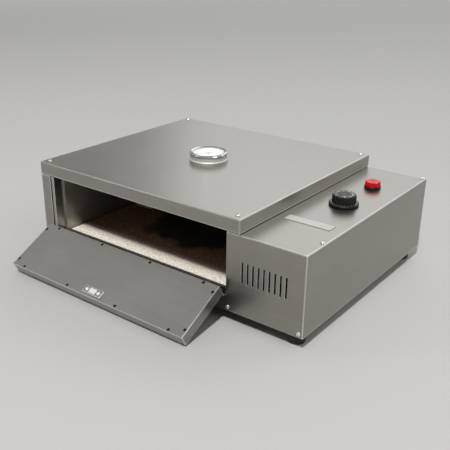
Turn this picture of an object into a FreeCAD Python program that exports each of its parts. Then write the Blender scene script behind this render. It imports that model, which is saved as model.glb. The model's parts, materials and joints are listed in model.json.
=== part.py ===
import FreeCAD, Part
import math
import os
from types import SimpleNamespace

import Sketcher
from FreeCAD import Placement, Rotation, Vector

# Electric pizza oven in folded stainless sheet, millimetres, +Z up, front towards -Y.
# Places are given from the cabinet's left side, its front face and the underside of its base pan.

driving_sizes = {
    # Cabinet sheets
    "plate": 1.0,
    "depth": 400.0,
    "body_height": 127.0,
    "opening_left": 31.0,
    "opening_width": 376.0,
    "control_width": 133.0,
    "bend": 2.0,
    "left_strip": 23.2,
    "strip_lap": 14.5,
    "jamb_groove": 2.2,
    "groove_depth": 6.0,
    "pan_flange": 12.0,
    "side_flange": 24.0,
    "rear_flange": 13.0,
    "seam": 0.4,
    "panel_reveal": 0.5,
    "apron_shelf": 19.0,
    "partition_foot": 12.0,
    "rail_flange": 14.0,
    # Vent slots of the control front
    "slot_pitch": 9.25,
    "slot_width": 3.0,
    "slot_height": 33.0,
    "slot_rise": 53.0,
    # Lid
    "lid_gap": 1.2,
    "lid_height": 21.5,
    "lid_overhang": 23.0,
    "lid_bend": 1.6,
    "lid_screw_inset": 12.0,
    "bracket_width": 20.0,
    "bracket_wall": 1.5,
    # Feet
    "foot_height": 20.0,
    "foot_radius": 15.0,
    "foot_sole_radius": 13.0,
    "foot_inset": 22.0,
    "foot_bore": 5.0,
    "foot_floor": 8.0,
    # Panel and lid screws
    "screw_radius": 1.9,
    "screw_head_radius": 3.3,
    "screw_head_height": 2.4,
    "screw_length": 7.0,
    "front_screw_left": 3.5,
    "front_screw_right": 5.1,
    "front_screw_far": 3.0,
    "low_screw_rise": 6.0,
    "cover_screw_inset": 5.5,
    "cover_screw_front": 49.0,
    "cover_screw_rear": 4.5,
    "rear_screw_inset": 22.0,
    "rear_screw_drop": 17.0,
    # Baking chamber
    "stop_gap": 0.3,
    "stop_lip": 4.0,
    "right_wool": 20.0,
    "rear_wool": 26.7,
    "floor_wool": 3.0,
    "top_wool": 21.0,
    "stone_thickness": 12.0,
    "stone_edge": 1.5,
    "stone_gap": 3.0,
    "stone_front_gap": 2.2,
    "support_width": 10.0,
    # Heating elements
    "heater_radius": 3.2,
    "heater_pitch": 80.0,
    "heater_drop": 10.0,
    "heater_gap": 1.6,
    "heater_margin": 20.0,
    "heater_tail": 20.0,
    "wall_hole_gap": 0.6,
    "hanger_width": 10.0,
    "hanger_wall": 3.0,
    "hanger_inset": 85.0,
    "hanger_fit": 0.05,
    "bead_radius": 5.0,
    "bead_length": 10.0,
    "stud_radius": 2.0,
    "stud_length": 10.0,
    # Thermostat and its sensing bulb
    "control_inset": 53.0,
    "thermostat_y": 198.2,
    "thermostat_length": 40.0,
    "thermostat_width": 34.0,
    "thermostat_height": 24.0,
    "bush_radius": 5.0,
    "bush_rise": 4.0,
    "hole_gap": 0.2,
    "shaft_radius": 3.0,
    "shaft_fit": 0.05,
    "shaft_rise": 14.0,
    "shaft_depth": 14.0,
    "fixing_pitch": 26.0,
    "bulb_radius": 3.0,
    "bulb_length": 80.0,
    "bulb_drop": 21.0,
    "bulb_lead": 12.0,
    "capillary_radius": 1.0,
    "capillary_bend": 8.0,
    # Knob
    "knob_lift": 0.8,
    "skirt_radius": 23.4,
    "skirt_height": 4.4,
    "skirt_edge": 1.2,
    "cap_radius": 18.8,
    "cap_edge": 2.0,
    "knob_height": 17.0,
    "knob_cavity_radius": 16.6,
    "knob_cavity_height": 5.0,
    "flute_radius": 1.0,
    "flute_depth": 0.4,
    # Pilot lamp
    "lamp_y": 298.7,
    "lamp_radius": 13.7,
    "lamp_ring": 4.2,
    "lamp_edge": 0.8,
    "barrel_radius": 10.8,
    "barrel_depth": 26.0,
    "lamp_nut_height": 4.0,
    "lens_radius": 12.9,
    "lens_height": 8.0,
    "lens_wall": 1.5,
    "lens_edge": 0.9,
    "glow_radius": 4.0,
    "glow_height": 5.0,
    # Blank name plate on the control cover
    "name_length": 76.0,
    "name_width": 18.0,
    "name_thickness": 0.8,
    "name_inset": 57.0,
    "name_y": 101.0,
    # Dial thermometer near the middle of the lid
    "gauge_from_left": 219.5,
    "gauge_from_front": 196.5,
    "bezel_radius": 33.5,
    "bezel_lip": 6.0,
    "bezel_wall": 1.5,
    "bezel_lift": 9.6,
    "bezel_shoulder": 2.8,
    "thermometer_height": 14.4,
    "case_wall": 1.2,
    "case_inset": 0.8,
    "case_step": 8.6,
    "bead": 0.9,
    "bead_height": 2.6,
    "bead_edge": 1.0,
    "dial_rise": 8.0,
    "dial_thickness": 0.6,
    "dial_hole": 1.4,
    "glass_thickness": 1.5,
    "neck_radius": 5.0,
    "neck_length": 8.0,
    "gauge_nut_radius": 9.0,
    "gauge_nut_height": 4.0,
    "stem_radius": 3.0,
    "stem_reach": 22.0,
    "pointer_length": 23.0,
    "pointer_tail": 7.0,
    "pointer_width": 2.4,
    "pointer_thickness": 0.8,
    "pointer_lift": 0.5,
    "pointer_turn": 135.0,
    "hub_radius": 2.8,
    "spindle_radius": 0.8,
    "spindle_fit": 0.05,
    "spindle_depth": 6.0,
    # Terminal block, wiring and cable gland
    "block_length": 50.0,
    "block_width": 22.0,
    "block_height": 18.0,
    "block_inset": 15.0,
    "block_rear_gap": 36.0,
    "wire_radius": 1.3,
    "wire_bend": 12.0,
    "wire_side": 11.0,
    "wire_low": 51.0,
    "gland_radius": 11.0,
    "gland_collar": 5.0,
    "gland_length": 15.0,
    "gland_dome_radius": 8.5,
    "gland_thread_radius": 8.0,
    "gland_bore": 4.0,
    "gland_nut_height": 5.0,
    "gland_inset": 40.0,
    "gland_rise": 45.0,
    # Piano hinge
    "hinge_forward": 2.8,
    "hinge_rise": 25.4,
    "knuckle_radius": 2.4,
    "knuckle_gap": 0.3,
    "pin_radius": 1.2,
    "pin_fit": 0.05,
    "leaf": 0.8,
    "leaf_gap": 0.4,
    "leaf_width": 17.0,
    "leaf_inset": 1.0,
    # Door
    "door_thickness": 20.0,
    "door_gap": 0.5,
    "door_top_gap": 3.6,
    "door_open": 118.0,
    "door_bend": 1.2,
    "door_lip": 8.0,
    "door_wool_gap": 1.5,
    "door_screw_radius": 1.4,
    "door_screw_head": 2.2,
    "door_screw_length": 6.0,
    "door_screw_inset": 3.5,
    "door_screw_pitch": 107.0,
    "door_side_pitch": 71.0,
    "strike_length": 39.0,
    "strike_width": 13.0,
    "strike_thickness": 1.8,
    "strike_drop": 10.5,
    "strike_screw_pitch": 25.0,
    "strike_screw_radius": 1.6,
    "strike_screw_head": 2.7,
    "pull_radius": 13.0,
    "pull_neck": 7.0,
    "pull_base": 9.0,
    "pull_height": 16.0,
    "pull_cap": 9.0,
    "pull_edge": 2.5,
    "pull_rise": 46.0,
    "pull_screw_radius": 2.0,
    "pull_screw_head": 4.0,
    "pull_screw_height": 2.5,
    # Magnetic catch
    "catch_gap": 0.3,
    "catch_length": 36.0,
    "catch_depth": 14.0,
    "catch_height": 13.0,
    "catch_slot": 4.0,
    "catch_shift": 7.0,
}

slot_count = 9
flute_count = 36
knuckle_count = 15
door_screw_columns = 4

doc = FreeCAD.newDocument("pizza_oven")
sheet = doc.addObject("Spreadsheet::Sheet", "sizes")
for row, (word, number) in enumerate(driving_sizes.items(), start=1):
    sheet.set(f"A{row}", word)
    sheet.set(f"B{row}", str(number))
    sheet.setAlias(f"B{row}", word)
doc.recompute()


# A length that knows its number and the sheet expression that gives it.
class Size:
    def __init__(self, number, text):
        self.number = number
        self.text = text

    def __add__(self, other):
        other = as_size(other)
        return Size(self.number + other.number, f"({self.text} + {other.text})")

    def __sub__(self, other):
        other = as_size(other)
        return Size(self.number - other.number, f"({self.text} - {other.text})")

    def __mul__(self, other):
        other = as_size(other)
        return Size(self.number * other.number, f"({self.text} * {other.text})")

    def __truediv__(self, other):
        other = as_size(other)
        return Size(self.number / other.number, f"({self.text} / {other.text})")

    def __radd__(self, other):
        return as_size(other) + self

    def __rsub__(self, other):
        return as_size(other) - self

    def __rmul__(self, other):
        return as_size(other) * self

    def __neg__(self):
        return 0 - self


def as_size(value):
    return value if isinstance(value, Size) else Size(float(value), f"({value:g})")


def sine(angle):
    return Size(math.sin(math.radians(angle.number)), f"sin({angle.text} * 1 deg)")


def cosine(angle):
    return Size(math.cos(math.radians(angle.number)), f"cos({angle.text} * 1 deg)")


s = SimpleNamespace(**{word: Size(number, f"sizes.{word}") for word, number in driving_sizes.items()})
zero = as_size(0)

# Places across the oven, from its left side
opening_right = s.opening_left + s.opening_width
width = opening_right + s.control_width
lid_right = opening_right + s.lid_overhang
panel_left = opening_right + s.panel_reveal
panel_right = width - s.plate - s.seam
cover_left = opening_right + s.plate
liner_left = s.opening_left + s.stop_lip
liner_right = opening_right - s.stop_lip
partition_left = liner_right + s.plate + s.right_wool
control_left = partition_left + s.plate
control_x = width - s.control_inset
door_middle = s.opening_left + s.opening_width / 2

# Places from the front face backwards
recess = s.door_thickness + s.stop_gap
inner_rear = s.depth - 2 * s.plate
chamber_rear = inner_rear - s.rear_wool - s.plate
chamber_middle = (recess + chamber_rear) / 2

# Places from the underside of the base pan upwards
ceiling = s.body_height - s.plate
lid_bottom = s.body_height + s.lid_gap
lid_top = lid_bottom + s.lid_height
apron_top = s.hinge_rise - s.leaf_gap / 2 - s.leaf
lower_heater_z = s.plate + s.floor_wool + s.heater_radius
upper_heater_z = ceiling - s.heater_drop
stone_bottom = lower_heater_z + s.heater_radius + s.heater_gap
stone_top = stone_bottom + s.stone_thickness
bulb_z = ceiling - s.bulb_drop

# The closed door in its own frame, whose X axis is the hinge pin
door_outer = s.hinge_forward
door_inner = door_outer + s.door_thickness
door_low = s.leaf_gap / 2 + s.leaf
door_high = s.body_height - s.hinge_rise - s.door_top_gap
door_left = s.opening_left + s.door_gap
door_right = opening_right - s.door_gap

# The origin lies on the table under the middle of the oven with its door open
door_reach = s.hinge_forward + door_high * sine(s.door_open) - door_inner * cosine(s.door_open)
left = -width / 2
front = -(s.depth + s.gland_length - door_reach) / 2
bottom = s.foot_height

upright = Rotation()
towards_right = Rotation(Vector(0, 1, 0), 90)
towards_rear = Rotation(Vector(1, 0, 0), -90)
towards_front = Rotation(Vector(1, 0, 0), 90)
upside_down = Rotation(Vector(1, 0, 0), 180)

sub_parts = {}


def at(x, y, z):
    return left + x, front + y, bottom + z


def bind(thing, prop, size):
    thing.setExpression(prop, as_size(size).text)


def place(thing, where, turn=upright):
    where = [as_size(value) for value in where]
    thing.Placement = Placement(Vector(*[value.number for value in where]), turn)
    for axis, value in zip("xyz", where):
        bind(thing, f"Placement.Base.{axis}", value)
    return thing


# Carries a piece modelled in the closed door's frame to the open position on the hinge.
def hang(thing):
    where = (left, front - s.hinge_forward, bottom + s.hinge_rise)
    place(thing, where, Rotation(Vector(1, 0, 0), s.door_open.number))
    bind(thing, "Placement.Rotation.Angle", s.door_open)
    return thing


def keep(thing, label):
    thing.Label = label
    sub_parts[label] = thing
    return thing


def block(name, low, high):
    solid = doc.addObject("Part::Box", name)
    low = [as_size(value) for value in low]
    for prop, start, end in zip(("Length", "Width", "Height"), low, high):
        bind(solid, prop, end - start)
    return place(solid, low)


def cabinet_block(name, low, high):
    return block(name, at(*low), at(*high))


def rod(name, base, radius, length, turn=upright):
    solid = doc.addObject("Part::Cylinder", name)
    bind(solid, "Radius", radius)
    bind(solid, "Height", length)
    return place(solid, base, turn)


def group(name, things):
    compound = doc.addObject("Part::Compound", name)
    compound.Links = list(things)
    return compound


def fuse(name, things):
    fused = doc.addObject("Part::MultiFuse", name)
    fused.Shapes = list(things)
    fused.Refine = True
    return fused


def cut(name, base, tools):
    result = doc.addObject("Part::Cut", name)
    result.Base = base
    result.Tool = group(f"{name}_cuts", tools)
    return result


# A group of separate solids, one copy of the model at each (point, turn).
def copies(name, model, places):
    links = []
    for number, (point, turn) in enumerate(places, start=1):
        link = doc.addObject("App::Link", f"{name}_{number}")
        link.LinkedObject = model
        link.LinkTransform = False
        links.append(place(link, point, turn))
    return group(name, links)


def new_body(name, where=(0, 0, 0), turn=upright):
    return place(doc.addObject("PartDesign::Body", name), where, turn)


def sketch_on(body, role, lift=None):
    sketch = body.newObject("Sketcher::SketchObject", f"{body.Name}_sketch")
    plane = next(feature for feature in body.Origin.OriginFeatures if feature.Role == role)
    sketch.AttachmentSupport = [(plane, "")]
    sketch.MapMode = "FlatFace"
    if lift is not None:
        sketch.AttachmentOffset = Placement(Vector(0, 0, lift.number), upright)
        bind(sketch, "AttachmentOffset.Base.z", lift)
    return sketch


def fix_point(sketch, curve, point, where):
    for kind, value in zip(("DistanceX", "DistanceY"), where):
        value = as_size(value)
        index = sketch.addConstraint(Sketcher.Constraint(kind, curve, point, value.number))
        bind(sketch, f"Constraints[{index}]", value)


def polygon(sketch, corners):
    first = sketch.GeometryCount
    corners = [(as_size(x), as_size(y)) for x, y in corners]
    points = [Vector(x.number, y.number, 0) for x, y in corners]
    for here, there in zip(points, points[1:] + points[:1]):
        sketch.addGeometry(Part.LineSegment(here, there), False)
    for number in range(len(corners)):
        following = first + (number + 1) % len(corners)
        sketch.addConstraint(Sketcher.Constraint("Coincident", first + number, 2, following, 1))
    for number, corner in enumerate(corners):
        fix_point(sketch, first + number, 1, corner)


def rectangle(sketch, low, high):
    polygon(sketch, [low, (high[0], low[1]), high, (low[0], high[1])])


def circle(sketch, centre, radius):
    x, y = (as_size(value) for value in centre)
    radius = as_size(radius)
    shape = Part.Circle(Vector(x.number, y.number, 0), Vector(0, 0, 1), radius.number)
    curve = sketch.addGeometry(shape, False)
    index = sketch.addConstraint(Sketcher.Constraint("Radius", curve, radius.number))
    bind(sketch, f"Constraints[{index}]", radius)
    fix_point(sketch, curve, 3, centre)


def pad(body, sketch, length, backwards=False):
    feature = body.newObject("PartDesign::Pad", f"{body.Name}_pad")
    feature.Profile = sketch
    bind(feature, "Length", length)
    feature.Reversed = backwards
    doc.recompute()
    return feature


def pocket(body, sketch, length, backwards=False):
    before = body.Shape.Volume
    feature = body.newObject("PartDesign::Pocket", f"{body.Name}_pocket")
    feature.Profile = sketch
    bind(feature, "Length", length)
    feature.Reversed = backwards
    doc.recompute()
    if body.Shape.Volume >= before:
        raise RuntimeError(f"{feature.Name} cuts nothing")
    return feature


def edges_where(feature, test):
    names = []
    for number, edge in enumerate(feature.Shape.Edges, start=1):
        straight = edge.Curve.TypeId == "Part::GeomLine"
        if straight and test(edge.CenterOfMass, edge.tangentAt(edge.FirstParameter)):
            names.append(f"Edge{number}")
    return names


def fillet(body, radius, test):
    base = body.Tip
    feature = body.newObject("PartDesign::Fillet", f"{body.Name}_bend")
    feature.Base = (base, edges_where(base, test))
    bind(feature, "Radius", radius)
    doc.recompute()
    return feature


def chamfer(body, size, test):
    base = body.Tip
    feature = body.newObject("PartDesign::Chamfer", f"{body.Name}_edge")
    feature.Base = (base, edges_where(base, test))
    bind(feature, "Size", size)
    doc.recompute()
    return feature


def near(value, size):
    return abs(value - as_size(size).number) < 0.01


# A round piece: its half profile, as (radius, height) corners, turned about its own axis.
def turned(name, profile, where=(0, 0, 0), turn=upright):
    body = new_body(name, where, turn)
    sketch = sketch_on(body, "XZ_Plane")
    polygon(sketch, profile)
    feature = body.newObject("PartDesign::Revolution", f"{name}_turn")
    feature.Profile = sketch
    feature.ReferenceAxis = (sketch, ["V_Axis"])
    feature.Angle = 360
    return body


def ring_profile(inner, outer, low, high):
    return [(inner, low), (outer, low), (outer, high), (inner, high)]


# Straight runs joined by tangent arcs, no arc longer than its shorter run allows.
def rounded_path(points, bend):
    edges = []
    start = points[0]
    for before, corner, after in zip(points, points[1:], points[2:]):
        incoming = corner - before
        outgoing = after - corner
        half_turn = incoming.getAngle(outgoing) / 2
        room = min(incoming.Length, outgoing.Length) / 2
        setback = min(bend * math.tan(half_turn), room)
        radius = setback / math.tan(half_turn)
        incoming.normalize()
        outgoing.normalize()
        enter = corner - incoming * setback
        leave = corner + outgoing * setback
        inward = outgoing - incoming
        inward.normalize()
        middle = corner + inward * (radius / math.cos(half_turn) - radius)
        if (enter - start).Length > 1e-6:
            edges.append(Part.LineSegment(start, enter).toShape())
        edges.append(Part.Arc(enter, middle, leave).toShape())
        start = leave
    if (points[-1] - start).Length > 1e-6:
        edges.append(Part.LineSegment(start, points[-1]).toShape())
    return Part.Wire(edges)


# A round tube along a rounded path through corners given from the cabinet's left, front and bottom.
def bent_tube(name, corners, radius, bend):
    points = [Vector(*[value.number for value in at(*corner)]) for corner in corners]
    path = rounded_path(points, bend.number)
    section = Part.Wire([Part.Circle(points[0], points[1] - points[0], radius.number).toShape()])
    tube = path.makePipeShell([section], True, False)
    expected = math.pi * radius.number**2 * path.Length
    if abs(tube.Volume / expected - 1) > 0.01:
        raise RuntimeError(f"{name} has the wrong volume")
    feature = doc.addObject("Part::Feature", name)
    feature.Shape = tube
    feature.Placement = Placement()
    return feature


def panel_screw_profile(length):
    crown = s.screw_head_height * 0.55
    return [
        (0, -length),
        (s.screw_radius, -length),
        (s.screw_radius, 0),
        (s.screw_head_radius, 0),
        (s.screw_head_radius, s.screw_head_height - crown),
        (s.screw_head_radius * 0.62, s.screw_head_height),
        (0, s.screw_head_height),
    ]


# Where the fasteners go
front_screws = [
    (s.opening_left + s.front_screw_far, s.low_screw_rise),
    (panel_left + s.front_screw_left, s.low_screw_rise),
    (panel_right - s.front_screw_right, s.low_screw_rise),
]
rear_screws = [
    (s.rear_screw_inset, s.low_screw_rise),
    (width - s.rear_screw_inset, s.low_screw_rise),
    (s.plate + s.rear_flange / 2, s.body_height - s.rear_screw_drop),
]
cover_screw_x = width - s.cover_screw_inset
cover_screws = [(cover_screw_x, s.cover_screw_front), (cover_screw_x, s.depth - s.cover_screw_rear)]
lid_columns = (s.lid_screw_inset, lid_right - s.lid_screw_inset)
lid_rows = (s.lid_screw_inset, s.depth - s.lid_screw_inset)
lid_screws = [(x, y) for x in lid_columns for y in lid_rows]
foot_columns = (s.foot_inset, width - s.foot_inset)
foot_rows = (s.foot_inset, s.depth - s.foot_inset)
feet = [(x, y) for x in foot_columns for y in foot_rows]
gauge_x = s.gauge_from_left
gauge_y = s.gauge_from_front
gland_x = width - s.gland_inset
fixings = [control_x - s.fixing_pitch / 2, control_x + s.fixing_pitch / 2]

# Where the heating elements and the capillary pass through the right wall
heater_rows = [chamber_middle + s.heater_pitch * step for step in (-1.5, -0.5, 0.5, 1.5)]
heater_ends = [(heater_rows[0], z) for z in (lower_heater_z, upper_heater_z)]
heater_ends += [(heater_rows[3], z) for z in (lower_heater_z, upper_heater_z)]


# Clearance holes along X for the element ends and the capillary.
def wall_holes(name, low_x, high_x):
    holes = []
    length = high_x - low_x
    radius = s.heater_radius + s.wall_hole_gap
    for number, (y, z) in enumerate(heater_ends, start=1):
        holes.append(rod(f"{name}_hole_{number}", at(low_x, y, z), radius, length, towards_right))
    start = at(low_x, s.thermostat_y, bulb_z)
    radius = s.capillary_radius + s.wall_hole_gap
    holes.append(rod(f"{name}_capillary_hole", start, radius, length, towards_right))
    return holes


# Base pan: a shallow tray with upturned flanges all round
def make_base_pan():
    body = new_body("base_pan", at(0, 0, 0))
    outline = sketch_on(body, "XY_Plane")
    rectangle(outline, (s.plate, s.plate), (width - s.plate, s.depth - s.plate))
    pad(body, outline, s.pan_flange)
    hollow = sketch_on(body, "XY_Plane", s.plate)
    rectangle(hollow, (2 * s.plate, 2 * s.plate), (width - 2 * s.plate, inner_rear))
    pocket(body, hollow, s.pan_flange, backwards=True)
    foot_holes = sketch_on(body, "XY_Plane", s.plate)
    for foot in feet:
        circle(foot_holes, foot, s.screw_radius)
    pocket(body, foot_holes, s.plate)
    tools = []
    for number, (x, z) in enumerate(front_screws + rear_screws[:2], start=1):
        y = s.plate if number <= len(front_screws) else inner_rear
        tools.append(rod(f"base_pan_hole_{number}", at(x, y, z), s.screw_radius, s.plate, towards_rear))
    keep(cut("base_pan_drilled", body, tools), "base_pan")


# Front panel: control front with vent slots, apron under the door and its hinge shelf
def make_front_panel():
    body = new_body("front_panel_sheet", at(0, 0, 0))
    outline = sketch_on(body, "XZ_Plane")
    apron_left = s.left_strip + s.seam
    polygon(
        outline,
        [
            (apron_left, 0),
            (panel_right, 0),
            (panel_right, ceiling - s.seam),
            (panel_left, ceiling - s.seam),
            (panel_left, apron_top),
            (apron_left, apron_top),
        ],
    )
    pad(body, outline, s.plate, backwards=True)
    shelf = sketch_on(body, "XZ_Plane")
    rectangle(shelf, (s.opening_left, apron_top - s.plate), (opening_right, apron_top))
    pad(body, shelf, s.apron_shelf, backwards=True)
    holes = sketch_on(body, "XZ_Plane")
    for x, z in front_screws:
        circle(holes, (x, z), s.screw_radius)
    pocket(body, holes, s.plate)
    slot = sketch_on(body, "XZ_Plane")
    slots_span = s.slot_pitch * (slot_count - 1)
    slot_left = (panel_left + panel_right - slots_span - s.slot_width) / 2
    rectangle(slot, (slot_left, s.slot_rise), (slot_left + s.slot_width, s.slot_rise + s.slot_height))
    first = pocket(body, slot, s.plate)
    pattern = body.newObject("PartDesign::LinearPattern", "vent_slots")
    pattern.Originals = [first]
    pattern.Direction = (slot, ["H_Axis"])
    bind(pattern, "Length", slots_span)
    pattern.Occurrences = slot_count
    body.Tip = pattern
    keep(body, "front_panel")


# Left side panel: side sheet with its front strip folded back at the jamb, top flange and rear flange
def make_left_side_panel():
    body = new_body("left_side_panel", at(0, 0, 0))
    side = sketch_on(body, "XY_Plane")
    polygon(
        side,
        [
            (0, 0),
            (s.left_strip, 0),
            (s.left_strip, s.plate),
            (s.plate, s.plate),
            (s.plate, s.depth),
            (0, s.depth),
        ],
    )
    pad(body, side, s.body_height)
    fold = sketch_on(body, "XY_Plane", s.pan_flange)
    rectangle(fold, (s.left_strip - s.plate, 0), (s.left_strip, s.groove_depth))
    pad(body, fold, ceiling - s.pan_flange)
    top = sketch_on(body, "XY_Plane", ceiling)
    rectangle(top, (0, s.plate), (s.plate + s.side_flange, s.depth - s.plate))
    pad(body, top, s.plate)
    rear = sketch_on(body, "XY_Plane", s.pan_flange)
    rectangle(rear, (0, inner_rear), (s.plate + s.rear_flange, s.depth - s.plate))
    pad(body, rear, s.body_height - s.pan_flange)
    fillet(
        body,
        s.bend,
        lambda middle, along: near(middle.x, 0) and near(middle.y, 0) and near(abs(along.z), 1),
    )
    x, z = rear_screws[2]
    hole = rod("left_side_panel_hole", at(x, inner_rear, z), s.screw_radius, s.plate, towards_rear)
    keep(cut("left_side_panel_drilled", body, [hole]), "left_side_panel")


# Rear panel with the hole for the cable gland
def make_rear_panel():
    panel = cabinet_block(
        "rear_panel_sheet",
        (s.plate, s.depth - s.plate, 0),
        (width - s.plate, s.depth, ceiling),
    )
    holes = []
    for number, (x, z) in enumerate(rear_screws, start=1):
        start = at(x, s.depth - s.plate, z)
        holes.append(rod(f"rear_panel_hole_{number}", start, s.screw_radius, s.plate, towards_rear))
    start = at(gland_x, s.depth - s.plate, s.gland_rise)
    gland_hole = s.gland_thread_radius + s.hole_gap
    holes.append(rod("rear_panel_gland_hole", start, gland_hole, s.plate, towards_rear))
    keep(cut("rear_panel_drilled", panel, holes), "rear_panel")


# Control cover: top and right side of the control box in one folded sheet
def make_control_cover():
    body = new_body("control_cover", at(0, 0, 0))
    profile = sketch_on(body, "XZ_Plane")
    polygon(
        profile,
        [
            (cover_left, ceiling),
            (width - s.plate, ceiling),
            (width - s.plate, 0),
            (width, 0),
            (width, s.body_height),
            (cover_left, s.body_height),
        ],
    )
    pad(body, profile, s.depth, backwards=True)
    fillet(body, s.bend, lambda middle, along: near(middle.x, width) and near(middle.z, s.body_height))
    holes = sketch_on(body, "XY_Plane", s.body_height)
    circle(holes, (control_x, s.thermostat_y), s.bush_radius + s.hole_gap)
    circle(holes, (control_x, s.lamp_y), s.barrel_radius + s.hole_gap)
    for x in fixings:
        circle(holes, (x, s.thermostat_y), s.screw_radius)
    for point in cover_screws:
        circle(holes, point, s.screw_radius)
    pocket(body, holes, s.plate)
    keep(body, "control_cover")


# Cover rail: an angle under the cover's right-hand top edge that takes the cover screws
def make_cover_rail():
    outer = width - s.plate
    flat = cabinet_block(
        "cover_rail_flat",
        (outer - s.rail_flange, s.plate, ceiling - s.plate),
        (outer, s.depth - s.plate, ceiling),
    )
    leg = cabinet_block(
        "cover_rail_leg",
        (outer - s.plate, s.plate, ceiling - s.rail_flange),
        (outer, s.depth - s.plate, ceiling),
    )
    holes = []
    for number, (x, y) in enumerate(cover_screws, start=1):
        holes.append(rod(f"cover_rail_hole_{number}", at(x, y, ceiling - s.plate), s.screw_radius, s.plate))
    keep(cut("cover_rail_drilled", fuse("cover_rail_angle", [flat, leg]), holes), "cover_rail")


# Lid: an inverted tray with soft bends, and the brackets that carry its four screws
def make_lid():
    body = new_body("lid", at(0, 0, lid_bottom))
    outline = sketch_on(body, "XY_Plane")
    rectangle(outline, (0, 0), (lid_right, s.depth))
    pad(body, outline, s.lid_height)
    fillet(
        body,
        s.lid_bend,
        lambda middle, along: near(middle.z, s.lid_height) or near(abs(along.z), 1),
    )
    hollow = sketch_on(body, "XY_Plane")
    rectangle(hollow, (s.plate, s.plate), (lid_right - s.plate, s.depth - s.plate))
    pocket(body, hollow, s.lid_height - s.plate, backwards=True)
    holes = sketch_on(body, "XY_Plane", s.lid_height)
    for point in lid_screws:
        circle(holes, point, s.screw_radius)
    circle(holes, (gauge_x, gauge_y), s.neck_radius + s.hole_gap)
    pocket(body, holes, s.plate)
    keep(body, "lid")


def make_lid_brackets():
    brackets = []
    half = s.bracket_width / 2
    height = lid_top - s.plate
    for number, (x, y) in enumerate(lid_screws, start=1):
        name = f"lid_bracket_{number}"
        outer = cabinet_block(name, (x - half, y - half, s.body_height), (x + half, y + half, height))
        clear = cabinet_block(
            f"{name}_clear",
            (x - half + s.bracket_wall, y - half, s.body_height),
            (x + half - s.bracket_wall, y + half, height - s.bracket_wall),
        )
        hole = rod(f"{name}_hole", at(x, y, height - s.bracket_wall), s.screw_radius, s.bracket_wall)
        brackets.append(cut(f"{name}_folded", outer, [clear, hole]))
    keep(group("lid_brackets", brackets), "lid_brackets")


# Partition between the chamber's wool and the control box
def make_partition():
    sheet_wall = cabinet_block(
        "partition_wall", (partition_left, 2 * s.plate, s.plate), (control_left, inner_rear, ceiling)
    )
    foot = cabinet_block(
        "partition_foot_flange",
        (partition_left, 2 * s.plate, s.plate),
        (control_left + s.partition_foot, inner_rear, 2 * s.plate),
    )
    holes = wall_holes("partition", partition_left, control_left)
    keep(cut("partition_drilled", fuse("partition_folded", [sheet_wall, foot]), holes), "partition")


# Jambs: folded strips on both sides of the door opening, the left one with a groove before the side panel
def make_jambs():
    inner = s.opening_left
    strip_left = s.left_strip + s.jamb_groove
    strip_right = strip_left + s.plate
    lap_rear = s.groove_depth + s.plate
    strip = cabinet_block(
        "left_jamb_strip",
        (strip_left, s.plate, s.pan_flange),
        (inner, 2 * s.plate, ceiling),
    )
    fold = cabinet_block(
        "left_jamb_fold",
        (strip_left, s.plate, s.pan_flange),
        (strip_right, lap_rear, ceiling),
    )
    lap = cabinet_block(
        "left_jamb_lap",
        (s.left_strip - s.strip_lap, s.groove_depth, s.pan_flange),
        (strip_right, lap_rear, ceiling),
    )
    reveal = cabinet_block(
        "left_jamb_reveal",
        (inner - s.plate, s.plate, s.pan_flange),
        (inner, recess, ceiling),
    )
    keep(fuse("left_jamb", [strip, fold, lap, reveal]), "left_jamb")
    inner = opening_right
    strip = cabinet_block(
        "right_jamb_strip",
        (inner, s.plate, s.pan_flange),
        (partition_left, 2 * s.plate, ceiling),
    )
    reveal = cabinet_block(
        "right_jamb_reveal",
        (inner, s.plate, s.pan_flange),
        (inner + s.plate, recess, ceiling),
    )
    keep(fuse("right_jamb", [strip, reveal]), "right_jamb")


# Chamber walls, each with the folded front lip that the closed door rests against
def make_chamber():
    lip_rear = recess + s.plate
    wall = cabinet_block(
        "left_liner_wall", (liner_left - s.plate, recess, s.plate), (liner_left, chamber_rear, ceiling)
    )
    lip = cabinet_block(
        "left_liner_lip", (s.opening_left - s.plate, recess, s.plate), (liner_left, lip_rear, ceiling)
    )
    keep(fuse("left_liner", [wall, lip]), "left_liner")
    wall = cabinet_block(
        "right_liner_wall", (liner_right, recess, s.plate), (liner_right + s.plate, chamber_rear, ceiling)
    )
    lip = cabinet_block(
        "right_liner_lip", (liner_right, recess, s.plate), (opening_right + s.plate, lip_rear, ceiling)
    )
    holes = wall_holes("right_liner", liner_right, liner_right + s.plate)
    keep(cut("right_liner_drilled", fuse("right_liner_folded", [wall, lip]), holes), "right_liner")
    keep(
        cabinet_block(
            "rear_liner",
            (liner_left - s.plate, chamber_rear, s.plate),
            (liner_right + s.plate, chamber_rear + s.plate, ceiling),
        ),
        "rear_liner",
    )
    flat = cabinet_block(
        "ceiling_flat",
        (liner_left - s.plate, recess, ceiling),
        (liner_right + s.plate, chamber_rear + s.plate, s.body_height),
    )
    header = cabinet_block(
        "ceiling_header",
        (liner_left - s.plate, recess, ceiling),
        (liner_right + s.plate, lip_rear, s.body_height + s.top_wool),
    )
    hole = rod("ceiling_stem_hole", at(gauge_x, gauge_y, ceiling), s.stem_radius + s.hole_gap, s.plate)
    keep(cut("ceiling_drilled", fuse("ceiling_folded", [flat, header]), [hole]), "ceiling_liner")


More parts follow.
